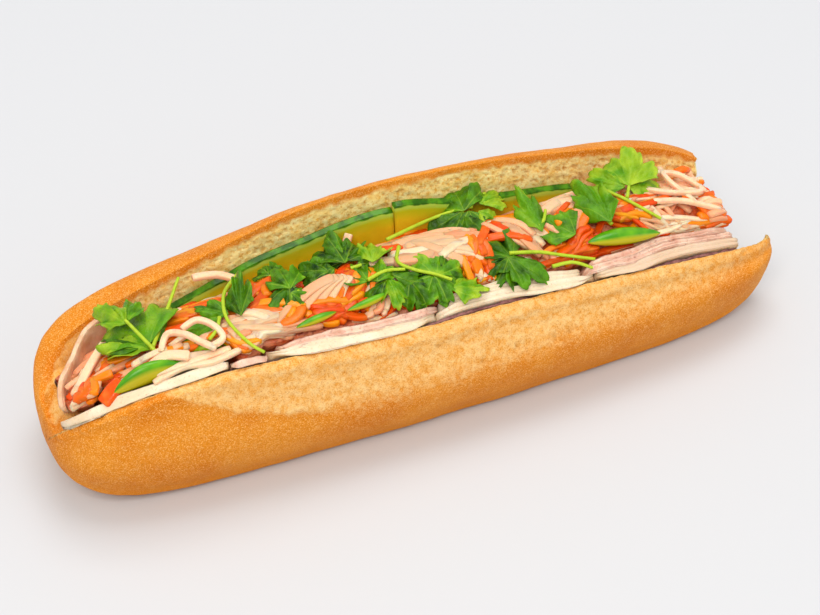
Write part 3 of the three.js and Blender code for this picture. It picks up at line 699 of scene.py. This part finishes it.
# Each slice's ends along the roll, and how far its top lies below the back rim along it.
CUCUMBERS = {
    "cucumber_1": (-90, -63, (9.6, 9, 7.9)),
    "cucumber_2": (-62, 1, (7.6, 8.3, 6.6)),
    "cucumber_3": (1.6, 74, (4.8, 9.8, 11.2, 10.6)),
}

cucumber_flesh, tree, shader = new_material(
    "wet_cucumber",
    Roughness=0.16,
    Specular_IOR_Level=0.3,
    Subsurface_Weight=0.25,
    Subsurface_Scale=0.004,
    IOR=1.36,
)
from_top = add(tree, "Attribute", output="Fac", attribute_name="from_top")
flesh = clouded(tree, "#d8c41a", "#c2b60e", 8, 3, 0.35, 0.65)
flesh = fading(tree, flesh, "#eec028", coordinate(tree, "X"), -0.022, 0.003, 0.45)
flesh = fading(tree, flesh, "#b4b81a", from_top, 7, 3)
flesh = fading(tree, flesh, "#a9c246", from_top, 3.2, 2.0)
skin = clouded(tree, "#2c5c04", "#4f8a0c", 4, 2, 0.4, 0.62)
waver = {"Value": grain(tree, 5, 2), "From Min": 0.3, "From Max": 0.7, "To Max": 0.6}
edge = add(tree, "Math", {0: from_top, 1: add(tree, "MapRange", waver)}, operation="ADD")
surface(tree, shader, fading(tree, flesh, skin, edge, 1.7, 1.3), grain(tree, 3, 2), 0.08, 0.4)

for node, (start, stop, below) in CUCUMBERS.items():
    bm = bmesh.new()
    layer = bm.verts.layers.float.new("from_top")
    outline = band_section(CUCUMBER, 0.9)

    def leaning(s, t):
        """A point of the slice, and how far it lies below the skin."""
        x = lerp(start, stop, s)
        deep, share, above = outline_at(outline, t)
        rim = back_rim(u_at(x))
        high = rim.z - through(below, s) - abs(2 * s - 1) ** 5
        z = lerp(high - CUCUMBER_HEIGHT, high, share) + above
        bulge = 0.5 * noise.noise(Vector((x / 25, z / 12, 2)))
        front = CUCUMBER_DEPTH + CUCUMBER - deep
        return Vector((x, rim.y - front - 0.1 * (rim.z - z) + bulge, z)), high - z

    made = unit_grid(bm, int((stop - start) / 1.5), len(outline))
    for vert in made:
        vert.co, vert[layer] = leaning(vert.co.x, vert.co.y)
    close_up(bm, made)
    finish_piece(bm, node + "_slice", cucumber_flesh, node)

# ---- Chilli ----
# Curved wedges cut lengthwise: waxy green skin above, a yellower cut flank in front. Each has its
# bend's three points, its height and its width.

CHILLIES = {
    "chilli_1": (((-117, -20.5, 51.5), (-106, -18.5, 56.6), (-91, -20, 53.5)), 9, 5),
    "chilli_2": (((-52, -20.5, 55.8), (-44, -20, 56.6), (-37, -19.5, 56.4)), 3, 3),
    "chilli_3": (((-33, -20, 56), (-24, -19.5, 56), (-16.5, -18, 56.4)), 3, 3),
    "chilli_4": (((60, -20, 53), (74, -19.5, 51.5), (88.5, -22, 49)), 6, 7),
}
chilli_skin, tree, shader = new_material("green_chilli", Roughness=0.26, Specular_IOR_Level=0.35)
flank = add(tree, "Attribute", output="Fac", attribute_name="flank")
green = clouded(tree, "#3d8a04", "#68ac06", 6, 2, 0.35, 0.65)
green = fading(tree, green, "#b8ae0c", flank, 0.4, 0.75)
surface(tree, shader, green, grain(tree, 1.6, 2), 0.1, 0.4)

for node, (path, high, wide) in CHILLIES.items():
    bm = bmesh.new()
    layer = bm.verts.layers.float.new("flank")
    first, middle, last = [Vector(p) for p in path]

    def wedge(s, t):
        """A point of the wedge, and how far it belongs to the cut flank."""
        at = (1 - s) ** 2 * first + 2 * s * (1 - s) * middle + s * s * last
        full = 0.06 + 0.94 * math.sin(math.pi * clamp(s, 0.001, 0.999)) ** 0.7
        angle = 2 * math.pi * t
        y = wide / 2 * full * math.cos(angle)
        z = high / 2 * full * math.sin(angle)
        cut = clamp(0.5 - 0.5 * math.cos(angle - 0.1 * math.pi) - 0.4 * math.sin(angle))
        return at + Vector((0, y, z)), cut

    made = unit_grid(bm, 28, 18)
    for vert in made:
        vert.co, vert[layer] = wedge(vert.co.x, vert.co.y)
    close_up(bm, made)
    finish_piece(bm, node + "_piece", chilli_skin, node)

# ---- Pickled carrot and daikon ----
# A wet core fills the slot under the shreds. The shreds lie on it at any angle, each a soft
# four-sided strip, carrot or daikon by where they lie.

RIDGE_Z = (40, 53, 56, 55, 52, 43)
BELOW_BACK_RIM = (8, 15, 25, 25, 18, 9)
HEAP_ENDS = (-131, 118)
CORE_DROP = 1.8


def heap_z(x, y):
    """The height of the heap's top, which runs from the front rim over a ridge to the back."""
    u = u_at(x, 0.985)
    front, far = front_rim(u), back_rim(u)
    ridge = min(through(RIDGE_Z, (u + 1) / 2), max(front.z, far.z) + 8)
    behind = far.z - through(BELOW_BACK_RIM, (u + 1) / 2)
    across = (front.z - 2, front.z + 3, ridge, ridge - 2, lerp(ridge - 2, behind, 0.6), behind)
    return through(across, (y - front.y) / (far.y - front.y))


def stack_depth(x):
    """How far the slices reach in from the front wall."""
    here = [s[2] + s[3] + BETWEEN for s in STANDING.values() if s[0] - 5 < x < s[1] + 5]
    return max([BETWEEN, *here]) + 0.3


def back_depth(x):
    """How far the cucumber reaches in from the back wall."""
    covered = any(s[0] - 6 < x < s[1] + 6 for s in CUCUMBERS.values())
    return CUCUMBER_DEPTH + CUCUMBER + BETWEEN if covered else 4.5


def heap_core(s, t):
    """The under side for t up to 0.4, up the back, the top from 0.5 to 0.9, and down the front."""
    x = lerp(HEAP_ENDS[0], HEAP_ENDS[1], s)
    u = u_at(x)
    stack, behind = stack_depth(x), back_depth(x)
    floor_z = slot_floor(u) + 3
    if t <= 0.4:
        k = t / 0.4
        y = lerp(wall_y(x, floor_z) + stack, back_rim(u).y - behind - 7, k)
        return Vector((x, y, floor_z + 4 * (2 * k - 1) ** 2))
    k = clamp(1 - (t - 0.5) / 0.4)
    y = lerp(wall_y(x, front_rim(u).z) + stack, back_rim(u).y - behind - 1.6, k)
    top = heap_z(x, y) - CORE_DROP + 0.9 * noise.noise(Vector((x, y, 0)) / 4)
    low = Vector((x, wall_y(x, floor_z) + stack, floor_z + 4))
    return Vector((x, y, top)).lerp(low, clamp((t - 0.9) / 0.1))


shred_core, tree, shader = new_material("packed_shreds", Roughness=0.3)
tone = clouded(tree, "#c9511a", "#d98a62", 6, 3, 0.4, 0.6)
# Dark red clouds: painted shade, for the dark gaps between the packed shreds.
tone = clouded(tree, tone, "#8a2c10", 2.5, 3, 0.5, 0.7)
surface(tree, shader, tone, grain(tree, 2.5, 4), 1.2, 0.9)
bm = bmesh.new()
close_up(bm, mapped_grid(bm, 160, 60, heap_core))
finish_piece(bm, "pickle_core", shred_core, "pickle_heap")


def value_layer(bm, name):
    """The mesh's layer of numbers with this name, made where it isn't there yet."""
    return bm.verts.layers.float.get(name) or bm.verts.layers.float.new(name)


def on_path(points, s):
    """The point at s on a path from 0 to 1, with the directions to its side and to its top."""
    along = (through(points, min(s + 0.02, 1)) - through(points, max(s - 0.02, 0))).normalized()
    side = along.cross(Vector((0, 0, 1))).normalized()
    return through(points, s), side, side.cross(along)


def shred(bm, path, width, thick, steps=12, twist=0.0, tint=0.5, tip=0.8):
    """A strip with rounded corners along a path, level unless it twists, with ends cut to this
    share of its width."""
    layer = value_layer(bm, "tint")
    points = [Vector(p) for p in path]

    def place(s, t):
        at, side, top = on_path(points, s)
        turn = twist * (s - 0.5)
        across = side * math.cos(turn) + top * math.sin(turn)
        upward = top * math.cos(turn) - side * math.sin(turn)
        angle = 2 * math.pi * (t + 1 / 24)
        full = tip + (1 - tip) * min(1, 4 * math.sin(math.pi * s)) ** 0.5
        out = math.copysign(abs(math.cos(angle)) ** 0.45, math.cos(angle)) * width / 2
        lift = math.copysign(abs(math.sin(angle)) ** 0.45, math.sin(angle)) * thick / 2
        return at + (across * out + upward * lift) * full

    made = mapped_grid(bm, steps, 12, place)
    for vert in made:
        vert[layer] = tint
    bmesh.ops.remove_doubles(bm, verts=made, dist=WELD)


away = Vector((-math.sin(azimuth), math.cos(azimuth), 0))
random_shreds = random.Random(11)


def heap_shred(
    bm, x, y, heading, length, width, bend=0, lift=1, tilt=0, tint=0.5, steps=10, tip=0.8, thick=None
):
    """A shred that follows the heap's top. Its heading is counted from the viewer's right."""
    turn = math.radians(heading)
    along = right * math.cos(turn) + away * math.sin(turn)
    across = Vector((-along.y, along.x, 0))
    path = []
    for k in (-1, -0.5, 0, 0.5, 1):
        at = Vector((x, y, 0)) + along * length / 2 * k + across * bend * (1 - k * k)
        at.x = clamp(at.x, HEAP_ENDS[0] + 1, HEAP_ENDS[1] + 1)
        u = u_at(at.x)
        low = wall_y(at.x, front_rim(u).z) + stack_depth(at.x) + width / 2 - 0.5
        high = back_rim(u).y - back_depth(at.x) - width / 2 + 0.3
        at.y = clamp(at.y, low, max(low, high))
        path.append((at.x, at.y, heap_z(at.x, at.y) + lift + tilt * k - 0.5 * k * k))
    shred(bm, path, width, thick or width * 0.72, steps, (random_shreds.random() - 0.5) * 1.4, tint, tip)


# Where the shreds lie in bunches: centre, reach along and across, heading, how many, the share
# of carrot, length and width.
BUNCHES = (
    (-122, -8, 8, 9, 65, 14, 0.3, 16, 2.2),
    (-110, 2, 10, 9, 20, 18, 0.5, 16, 2.2),
    (-120, -17, 5, 2, 30, 5, 1.0, 8, 3.4),
    (-85, 4, 9, 8, 12, 24, 0.96, 17, 2.6),
    (-97, -13, 8, 6, 25, 10, 0.2, 14, 2.6),
    (-74, -20, 8, 5, 25, 16, 0.55, 12, 2.6),
    (-64, -12, 10, 7, 6, 22, 0.2, 18, 2.9),
    (-56, 1, 7, 5, 70, 9, 0.95, 12, 3.6),
    (-59, -24, 10, 3, 14, 9, 0.0, 16, 2.8),
    (-54, -15, 6, 6, 40, 10, 0.85, 11, 3.2),
    (-38, -17, 9, 4, 5, 11, 1.0, 14, 3.2),
    (-28, -9, 5, 5, 70, 8, 1.0, 13, 3.2),
    (-20, -15, 6, 7, 70, 13, 0.45, 13, 2.6),
    (8, 17, 9, 3, 15, 6, 1.0, 14, 2.6),
    (-4, 6, 8, 6, 20, 9, 0.7, 14, 2.8),
    (7, -3, 14, 8, 4, 24, 0.03, 20, 3.6),
    (20, -12, 7, 9, -75, 18, 0.95, 14, 3.2),
    (19, -23, 6, 4, -50, 8, 0.6, 10, 2.6),
    (40, -5, 9, 8, -38, 20, 0.25, 17, 2.8),
    (60, 4, 12, 6, 38, 13, 0.08, 20, 3.6),
    (52, -18, 10, 6, 48, 15, 0.45, 13, 2.5),
    (52, -28, 12, 2, 2, 6, 1.0, 18, 2.6),
    (63, -6, 7, 8, 50, 12, 0.85, 14, 3.2),
    (82, -10, 9, 7, 10, 18, 0.8, 12, 2.6),
    (98, -2, 14, 9, 20, 40, 0.12, 19, 1.8),
    (112, -18, 6, 4, 0, 6, 0.9, 10, 2.8),
    (96, -18, 12, 4, 8, 16, 0.1, 18, 1.9),
)
carrot, daikon = bmesh.new(), bmesh.new()


def loose(spread):
    return (random_shreds.random() + random_shreds.random() - 1) * spread


# An even layer under the bunches, then the bunches.
FILLER = 170
for i in range(FILLER):
    x = lerp(HEAP_ENDS[0] + 4, HEAP_ENDS[1] + 2, (i + random_shreds.random()) / FILLER)
    u = u_at(x)
    y = lerp(front_rim(u).y + 6, back_rim(u).y - 6, (i * 0.618 + 0.2 * random_shreds.random()) % 1)
    bm = carrot if random_shreds.random() < 0.55 else daikon
    heading, length, width = 25 + loose(70), 16 + loose(6), 2.5 + loose(0.5)
    bend, lift = loose(3), loose(0.7) - 0.8
    heap_shred(bm, x, y, heading, length, width, bend, lift, tint=random_shreds.random())
for x, y, reach_x, reach_y, heading, count, carrots, length, width in BUNCHES:
    for i in range(count):
        bm = carrot if random_shreds.random() < carrots else daikon
        heap_shred(
            bm,
            x + loose(reach_x),
            y + loose(reach_y),
            heading + loose(40),
            length * (1 + loose(0.45)),
            width * (1 + loose(0.35)),
            bend=loose(3),
            lift=0.9 + 1.5 * i / count + loose(0.5),
            tilt=loose(1.2),
            tint=random_shreds.random(),
        )

# The large pieces of daikon, each a path and a width: loops and strips at the left, strips over the
# cucumber, and long threads at the right. One chunk of carrot lies at each end.
PLACED = (
    (((-98, -14, 57), (-94, -9, 59), (-89, -12, 60), (-84.5, -18, 59.6), (-81, -21.5, 58.6)), 2.2),
    (((-89, -10, 60.4), (-83, -8.5, 61), (-78.5, -13, 60.4), (-77.5, -18.5, 59.2), (-83, -20.5, 59)), 2.2),
    (((-104, -18, 55), (-97, -17, 57.4), (-90, -20, 57.5)), 4),
    (((-76, 17, 56), (-67, 17, 54), (-60, 15, 50.5)), 3),
    (((-17, 17, 55), (-20, 14, 51)), 3),
    (((-112, 6, 49), (-120, -2, 48), (-127, -9, 45)), 3),
    (((100, 8, 50), (109, 2, 51), (117, -6, 46)), 2),
    (((92, -10, 53.4), (104, -13, 51.5), (117, -17, 46)), 2),
    (((88, 2, 53), (98, -8, 54), (112, -9, 50), (116, -3, 47)), 1.8),
    (((106, 10, 49), (103, -2, 53), (108, -14, 50)), 1.8),
    (((-113, -19, 51.6), (-102, -20.5, 54.4), (-90, -21.5, 55.6), (-76, -21, 56)), 2.6),
    (((-104, -23, 53), (-93, -22, 55), (-84, -24, 55.4), (-73, -22.5, 55.6)), 2.2),
)
for path, width in PLACED:
    shred(daikon, path, width, 1.9, steps=22, tint=0.9)
left_chunk = ((-121, -20, 47.5), (-117, -18.5, 50.5), (-113, -17, 51.5))
right_chunk = ((109, -19.5, 42.4), (115.5, -18.5, 42.6), (120.8, -18.5, 41))
shred(carrot, left_chunk, 5.5, 3, tint=0.25)
shred(carrot, right_chunk, 3.4, 2.4, tint=0.4)

# The ends of shreds that stick out where the heap stops at the right.
LOOSE_ENDS = 110
stop = HEAP_ENDS[1]
for i in range(LOOSE_ENDS):
    z = lerp(slot_floor(u_at(stop)) + 2, heap_z(stop, -8) + 1, random_shreds.random())
    y = lerp(wall_y(stop, z) + stack_depth(stop), back_rim(u_at(stop)).y - 9, random_shreds.random())
    bm = carrot if random_shreds.random() < 0.35 else daikon
    reach = 1.2 + loose(1.6)
    bend = (stop - 2, y + loose(1), z + loose(1))
    end = (stop + reach, y + loose(4), z - 1 + loose(3))
    shred(bm, ((stop - 7, y, z), bend, end), 2.6 + loose(0.8), 1.9, 8, loose(2), random_shreds.random())

# Broad strips of daikon, each bundle fanned out like a petal: one left of the middle, one in the
# middle, and two strips at the right.
for k in range(5):
    heap_shred(
        daikon,
        -41 + 2.4 * k,
        -9 - 0.8 * k,
        38 + 8 * k,
        18 - k,
        4.2,
        bend=1,
        lift=3.2 - 0.3 * k,
        tilt=1.2,
        tint=0.3 + 0.1 * k,
        steps=18,
        tip=0.4,
        thick=1.6,
    )
    heap_shred(
        daikon,
        3 + 3 * k,
        1 - 3 * k,
        12 - 5 * k,
        19 - k,
        3.8,
        bend=1,
        lift=2.9 - 0.2 * k,
        tilt=0.4,
        tint=0.35 + 0.08 * k,
        steps=18,
        tip=0.6,
        thick=1.8,
    )
heap_shred(daikon, 60, 5, 38, 26, 3.4, 1, 2.6, 1.5, 0.8, 18, 0.6, 1.8)
heap_shred(daikon, 62, 2, 43, 24, 3.4, 1, 2.8, 1.5, 0.6, 18, 0.6, 1.8)

cap_ends(carrot)
cap_ends(daikon)


def wet_shred(name, shades, stain, scatter):
    """Pickled root: glossy, see-through at its edges, each shred of its own shade."""
    material, tree, shader = new_material(
        name,
        Roughness=0.24,
        Specular_IOR_Level=0.35,
        Subsurface_Weight=scatter,
        Subsurface_Scale=0.004,
        IOR=1.38,
    )
    tint = add(tree, "Attribute", output="Fac", attribute_name="tint")
    shade = fading(tree, shades[0], shades[1], tint, 0, 0.5)
    shade = fading(tree, shade, shades[2], tint, 0.5, 1)
    shade = clouded(tree, shade, stain, 4, 3, 0.5, 0.75, 0.55)
    surface(tree, shader, shade, grain(tree, 0.9, 3), 0.12, 0.5)
    return material


# Carrot runs from red-orange to yellow-orange, daikon from pink to cream.
carrot_root = wet_shred("pickled_carrot", ("#dc3c06", "#ee6208", "#f5940c"), "#f58430", 0.3)
daikon_root = wet_shred("pickled_daikon", ("#ea9468", "#f2b488", "#f8d2ac"), "#f0a07a", 0.4)
finish_piece(carrot, "carrot_shreds", carrot_root, "pickle_heap")
finish_piece(daikon, "daikon_shreds", daikon_root, "pickle_heap")

# ---- Coriander ----
# Sprigs of lobed, toothed leaves on thin stems. Each blade's plane leans to the front left, and its
# heading is counted from the right as seen from there.

LEAF_THICKNESS = 0.3
STEM_RADIUS = 0.7
HALF_FAN = 1.25
LOBE_ANGLE = 0.95


def blade(bm, base, heading, length, width, lean, curl, tone, seed):
    """A leaf's blade from its base: three lobes, each turned a little its own way, with round
    teeth and a ruffled edge. Its sides and tip bend down by about the curl in radians."""
    veins, tones = value_layer(bm, "vein"), value_layer(bm, "tone")
    pick = random.Random(seed)
    normal = Vector((0, 0, 1))
    normal.rotate(Matrix.Rotation(math.radians(lean), 3, right))
    behind = normal.cross(right)
    turn = math.radians(heading)
    along = right * math.cos(turn) + behind * math.sin(turn)
    across = normal.cross(along)
    phase, nod = 6.28 * pick.random(), curl * (0.4 + 0.5 * pick.random())
    bend, tilt = curl * (0.7 + 0.5 * pick.random()), 0.6 * (pick.random() - 0.5)
    ruffle, waves = 0.03 + 0.08 * curl * pick.random(), 6 + 4 * pick.random()
    teeth, shift = 8 + 3 * pick.random(), 3 * pick.random()
    twists = [curl * (pick.random() - 0.5) for _ in range(3)]
    lifts = [0.3 * curl * (pick.random() - 0.5) for _ in range(3)]

    def place(share, angle):
        """A point of the blade, how much it is a vein and how pale it is, with painted light on lobes that
        lift and painted shade on lobes that drop.
        """
        warped = angle + 0.14 * noise.noise(Vector((angle * 2, seed, 3)))
        lobe = 0 if warped < -0.5 else 2 if warped > 0.5 else 1
        local = warped - (lobe - 1) * LOBE_ANGLE
        notch = abs(abs(warped) - 0.5)
        far = (1.1 - 0.1 * (angle / HALF_FAN) ** 2) * (1 - 0.22 * (1 - smooth(notch, 0.0, 0.24)))
        far *= 1 + 0.22 * noise.noise(Vector((angle * 1.2, seed, 0)))
        far *= share * (0.9 + 0.1 * abs(math.cos(teeth * warped + shift)) ** 0.6)
        ahead, aside = far * math.cos(angle), far * math.sin(angle) * width * 1.2
        height = -(1 - math.cos(bend * aside)) / bend - (1 - math.cos(nod * ahead)) / nod + tilt * aside
        height += far * (twists[lobe] * math.sin(local) * smooth(far, 0, 0.5) + lifts[lobe] * far)
        height += ruffle * far * far * math.sin(waves * angle + phase)
        height += 0.06 * noise.noise(Vector((ahead * 3, aside * 3, seed)))
        height += 0.05 * noise.noise(Vector((ahead * 8, aside * 8, seed))) * smooth(far, 0.1, 0.5)
        main, minor = abs(local) * far, abs(abs(local) - 0.25) * far
        height += 0.1 * min(main, 0.12)
        vein = 0.5 * (1 - smooth(minor * length, 0.05, 0.3)) * share
        vein = max(1 - smooth(main * length, 0.05, 0.35), vein)
        flat = along * math.sin(nod * ahead) / nod + across * math.sin(bend * aside) / bend
        patch = noise.noise(Vector((ahead * 4 + seed, aside * 4, 7)))
        shade = tone + 0.16 * smooth(share, 0.75, 1) + 0.3 * patch
        # Lifted lobes are painted paler and dropped lobes darker: painted light and painted shade.
        shade += 0.3 * lifts[lobe] / max(curl, 0.3)
        return Vector(base) + length * (flat + normal * height), vein, clamp(shade)

    made = unit_grid(bm, 12, 72)
    for vert in made:
        vert.co, vert[veins], vert[tones] = place(vert.co.x, (2 * vert.co.y - 1) * HALF_FAN)
    bmesh.ops.remove_doubles(bm, verts=made, dist=WELD)


def stem(bm, path):
    """A round, pale stem along a path, thinner towards its end."""
    veins, tones = value_layer(bm, "vein"), value_layer(bm, "tone")
    points = [Vector(p) for p in path]

    def place(s, t):
        at, side, top = on_path(points, s)
        angle = 2 * math.pi * t
        thin = STEM_RADIUS * lerp(1.05, 0.8, s)
        return at + side * thin * math.cos(angle) + top * thin * math.sin(angle)

    made = mapped_grid(bm, 26, 10, place)
    for vert in made:
        vert[veins] = 0.75
        vert[tones] = 0.95
    bmesh.ops.remove_doubles(bm, verts=made, dist=WELD)


# Each sprig's blades (base, heading, length, width, lean, curl and how pale), and its stems' paths.
SPRIGS = {
    "coriander_1": (
        ((-100, -7, 54.5), 124, 22.5, 0.62, 14, 0.9, 0.55),
        ((-105, 1, 59.5), 142, 15, 0.3, 12, 0.8, 0.62),
        ((-104, 2, 59.5), 94, 12, 0.4, 16, 1, 0.45),
        ((-100, -9, 54.5), 172, 18, 0.24, 6, 0.6, 0.6),
        ((-100, -6.5, 54), 84, 15.5, 0.3, 14, 1.1, 0.3),
        ((-101, -7, 54), 148, 19, 0.45, 8, 1.1, 0.22),
    ),
    "coriander_2": (
        ((-68, -10, 58.5), 98, 18, 0.26, 16, 0.8, 0.18),
        ((-71.5, -7.5, 58.5), 162, 12, 0.36, 14, 0.5, 0.32),
    ),
    "coriander_3": (
        ((-76.5, -9, 57.5), -150, 16.5, 0.4, 10, 0.8, 0.5),
        ((-77.5, -7.5, 57), -86, 11.5, 0.5, 6, 0.8, 0.42),
    ),
    "coriander_4": (
        ((-51, 7, 56), 124, 7, 0.8, 14, 1.4, 0.2),
        ((-51, 7, 56), 46, 6.5, 0.7, 14, 1.4, 0.3),
        ((-48.5, -6.5, 60.5), 116, 11.5, 0.6, 18, 1.2, 0.34),
        ((-48, -4.5, 60.5), -86, 12.5, 0.75, 4, 1.3, 0.12),
        ((-49, -8, 60), -22, 7, 0.7, 8, 1.3, 0.34),
    ),
    "coriander_5": (
        ((-25, 0, 59), 150, 17, 0.5, 12, 1.2, 0.16),
        ((-26, -1.5, 60), 120, 13.5, 0.6, 16, 1.3, 0.12),
        ((-25.5, 0, 59.5), 64, 12, 0.6, 16, 1.3, 0.2),
        ((-17.5, -5.5, 60.5), 88, 12.5, 0.5, 16, 1.4, 0.66),
        ((-30, -1.5, 59), -154, 13, 0.5, 6, 1.2, 0.25),
        ((-22, -3, 58.5), 20, 12, 0.6, 10, 1.4, 0.1),
        ((-33, -3, 59.5), 168, 12, 0.5, 12, 1.4, 0.1),
    ),
    "coriander_6": (
        ((-19, -13.5, 58.5), 90, 9.5, 0.7, 14, 1.2, 0.4),
        ((-16, -13.5, 58), -150, 10, 0.6, 6, 1.3, 0.12),
        ((-14.5, -12.5, 58), -70, 12, 0.5, 4, 1.1, 0.5),
        ((-13, -12, 58.5), 20, 12, 0.5, 8, 1.3, 0.16),
        ((-22, -12, 58.5), 150, 13, 0.45, 10, 1.2, 0.3),
        ((-8, -16, 57), -50, 11, 0.6, 4, 1.2, 0.2),
    ),
    "coriander_7": (
        ((1.5, -18, 57), 86, 11.5, 0.75, 20, 0.7, 0.5),
        ((0, -16, 56), 140, 10.5, 0.5, 12, 1.4, 0.1),
        ((0.5, -17, 57), -106, 10, 0.95, 4, 1.1, 0.38),
        ((1, -17, 56.5), -62, 9.5, 0.7, 4, 1.1, 0.3),
        ((4, -16, 56.5), 30, 9, 0.6, 12, 1.2, 0.12),
        ((5, -22, 54), 6, 13, 0.4, 4, 0.6, 0.62),
    ),
    "coriander_8": (
        ((26, 12, 54.5), 108, 13.5, 0.8, 20, 0.9, 0.3),
        ((25.5, 12, 54.5), -108, 16, 0.65, 2, 0.9, 0.16),
        ((27.5, 11, 55), -72, 14.5, 0.55, 4, 1, 0.24),
        ((33, 13, 54.5), 60, 11, 0.6, 16, 1.2, 0.6),
        ((34, 12, 54.5), 44, 11, 0.5, 14, 1.3, 0.7),
        ((31, 10, 54.5), -48, 9.5, 0.5, 8, 1.2, 0.68),
    ),
    "coriander_9": (
        ((30.5, -19, 56), 126, 17, 0.5, 16, 0.8, 0.16),
        ((28.5, -18.5, 56.5), -26, 16, 0.45, 6, 1, 0.3),
        ((29, -18.5, 56), -146, 10, 0.5, 6, 1.2, 0.1),
        ((29, -18.5, 55), -80, 12.5, 0.5, 4, 1.2, 0.2),
    ),
    "coriander_10": (
        ((45, -13, 58), 112, 22, 0.22, 10, 0.5, 0.46),
        ((56, -17.5, 56.5), 146, 14, 0.55, 6, 0.3, 0.36),
    ),
    "coriander_11": (
        ((70, -18, 57.5), 117, 24, 0.3, 14, 1.1, 0.36),
    ),
    "coriander_12": (
        ((86, -2, 56.5), 82, 16, 0.62, 24, 0.7, 0.66),
        ((85, -1, 55.5), 150, 14, 0.45, 20, 0.7, 0.6),
        ((86, -2, 55.5), 12, 12, 0.55, 16, 0.7, 0.66),
        ((92, -2, 54), -60, 9, 0.4, 10, 0.6, 0.6),
    ),
}
STEMS = {
    "coriander_1": (
        ((-99, -11, 54.8), (-105, 2, 60.5)),
        ((-100, -10, 55.2), (-88, 8, 55), (-81, 17, 58)),
    ),
    "coriander_2": (
        ((-59, 18, 50.6), (-69, 4, 57), (-73, -10, 59), (-70, -22, 57.6), (-66, -27, 55.6)),
    ),
    "coriander_3": (((-75, -8, 58.5), (-78, -14, 59.6), (-82, -18, 60)),),
    "coriander_4": (((-51, 7, 55.6), (-48, 0, 58.6), (-46, -8, 59.5)),),
    "coriander_5": (((-25, -4, 59), (-21, -4, 59.2)),),
    "coriander_6": (((-22, -12, 59.2), (-15, -11, 60), (-8, -12, 59)),),
    "coriander_7": (((-5, 0, 58.4), (-9, -8, 59.6), (-5, -13, 58.6), (1, -17, 57.6), (6, -21, 56.4)),),
    "coriander_8": (((-7, 6, 57.6), (9, 13, 53.6), (20, 15, 53), (30, 13, 54.4)),),
    "coriander_9": (
        ((30, -17, 56.6), (40, -19.5, 55.5), (47.5, -22, 53.5), (59.8, -25.8, 50)),
        ((43.2, -25, 52), (51, -25.5, 51.5), (57.5, -28.6, 49)),
    ),
    "coriander_10": (((45, -10, 58.4), (48, -8, 58.6), (51, -3.4, 58.4)),),
    "coriander_11": (((71, -17, 55.4), (69, -11, 56.8)),),
    "coriander_12": (
        ((77, 3, 54.5), (82, -8, 55.8), (91, -17.8, 51.5)),
        ((82.5, -7, 56), (86, -2, 56.3)),
    ),
}

# Fresh leaf: from dark green, on dark leaves and as painted shade in the folds where lobes drop, to
# yellow-green on pale leaves and stems, paler along the veins, with a soft sheen. Lobes that lift
# are painted paler: painted light.
leaf_green, tree, shader = new_material("coriander_leaf", Roughness=0.36, Specular_IOR_Level=0.25)
paleness = add(tree, "Attribute", output="Fac", attribute_name="tone")
vein = add(tree, "Attribute", output="Fac", attribute_name="vein")
green = fading(tree, "#0c3600", "#569200", paleness, 0, 0.5)
green = fading(tree, green, "#bcd02a", paleness, 0.5, 1)
green = clouded(tree, green, "#74a800", 3, 3, 0.45, 0.7, 0.3)
green = fading(tree, green, "#a6c534", vein, 0.3, 1, 0.35)
surface(tree, shader, green, grain(tree, 1.4, 3), 0.7, 1.0)

for order, (node, blades) in enumerate(SPRIGS.items()):
    bm = bmesh.new()
    for number, spec in enumerate(blades):
        blade(bm, *spec, 10 * order + number)
    bmesh.ops.recalc_face_normals(bm, faces=bm.faces)
    bmesh.ops.solidify(bm, geom=bm.faces[:], thickness=LEAF_THICKNESS)
    for path in STEMS[node]:
        stem(bm, path)
    cap_ends(bm)
    finish_piece(bm, node + "_sprig", leaf_green, node)

bpy.context.view_layer.update()
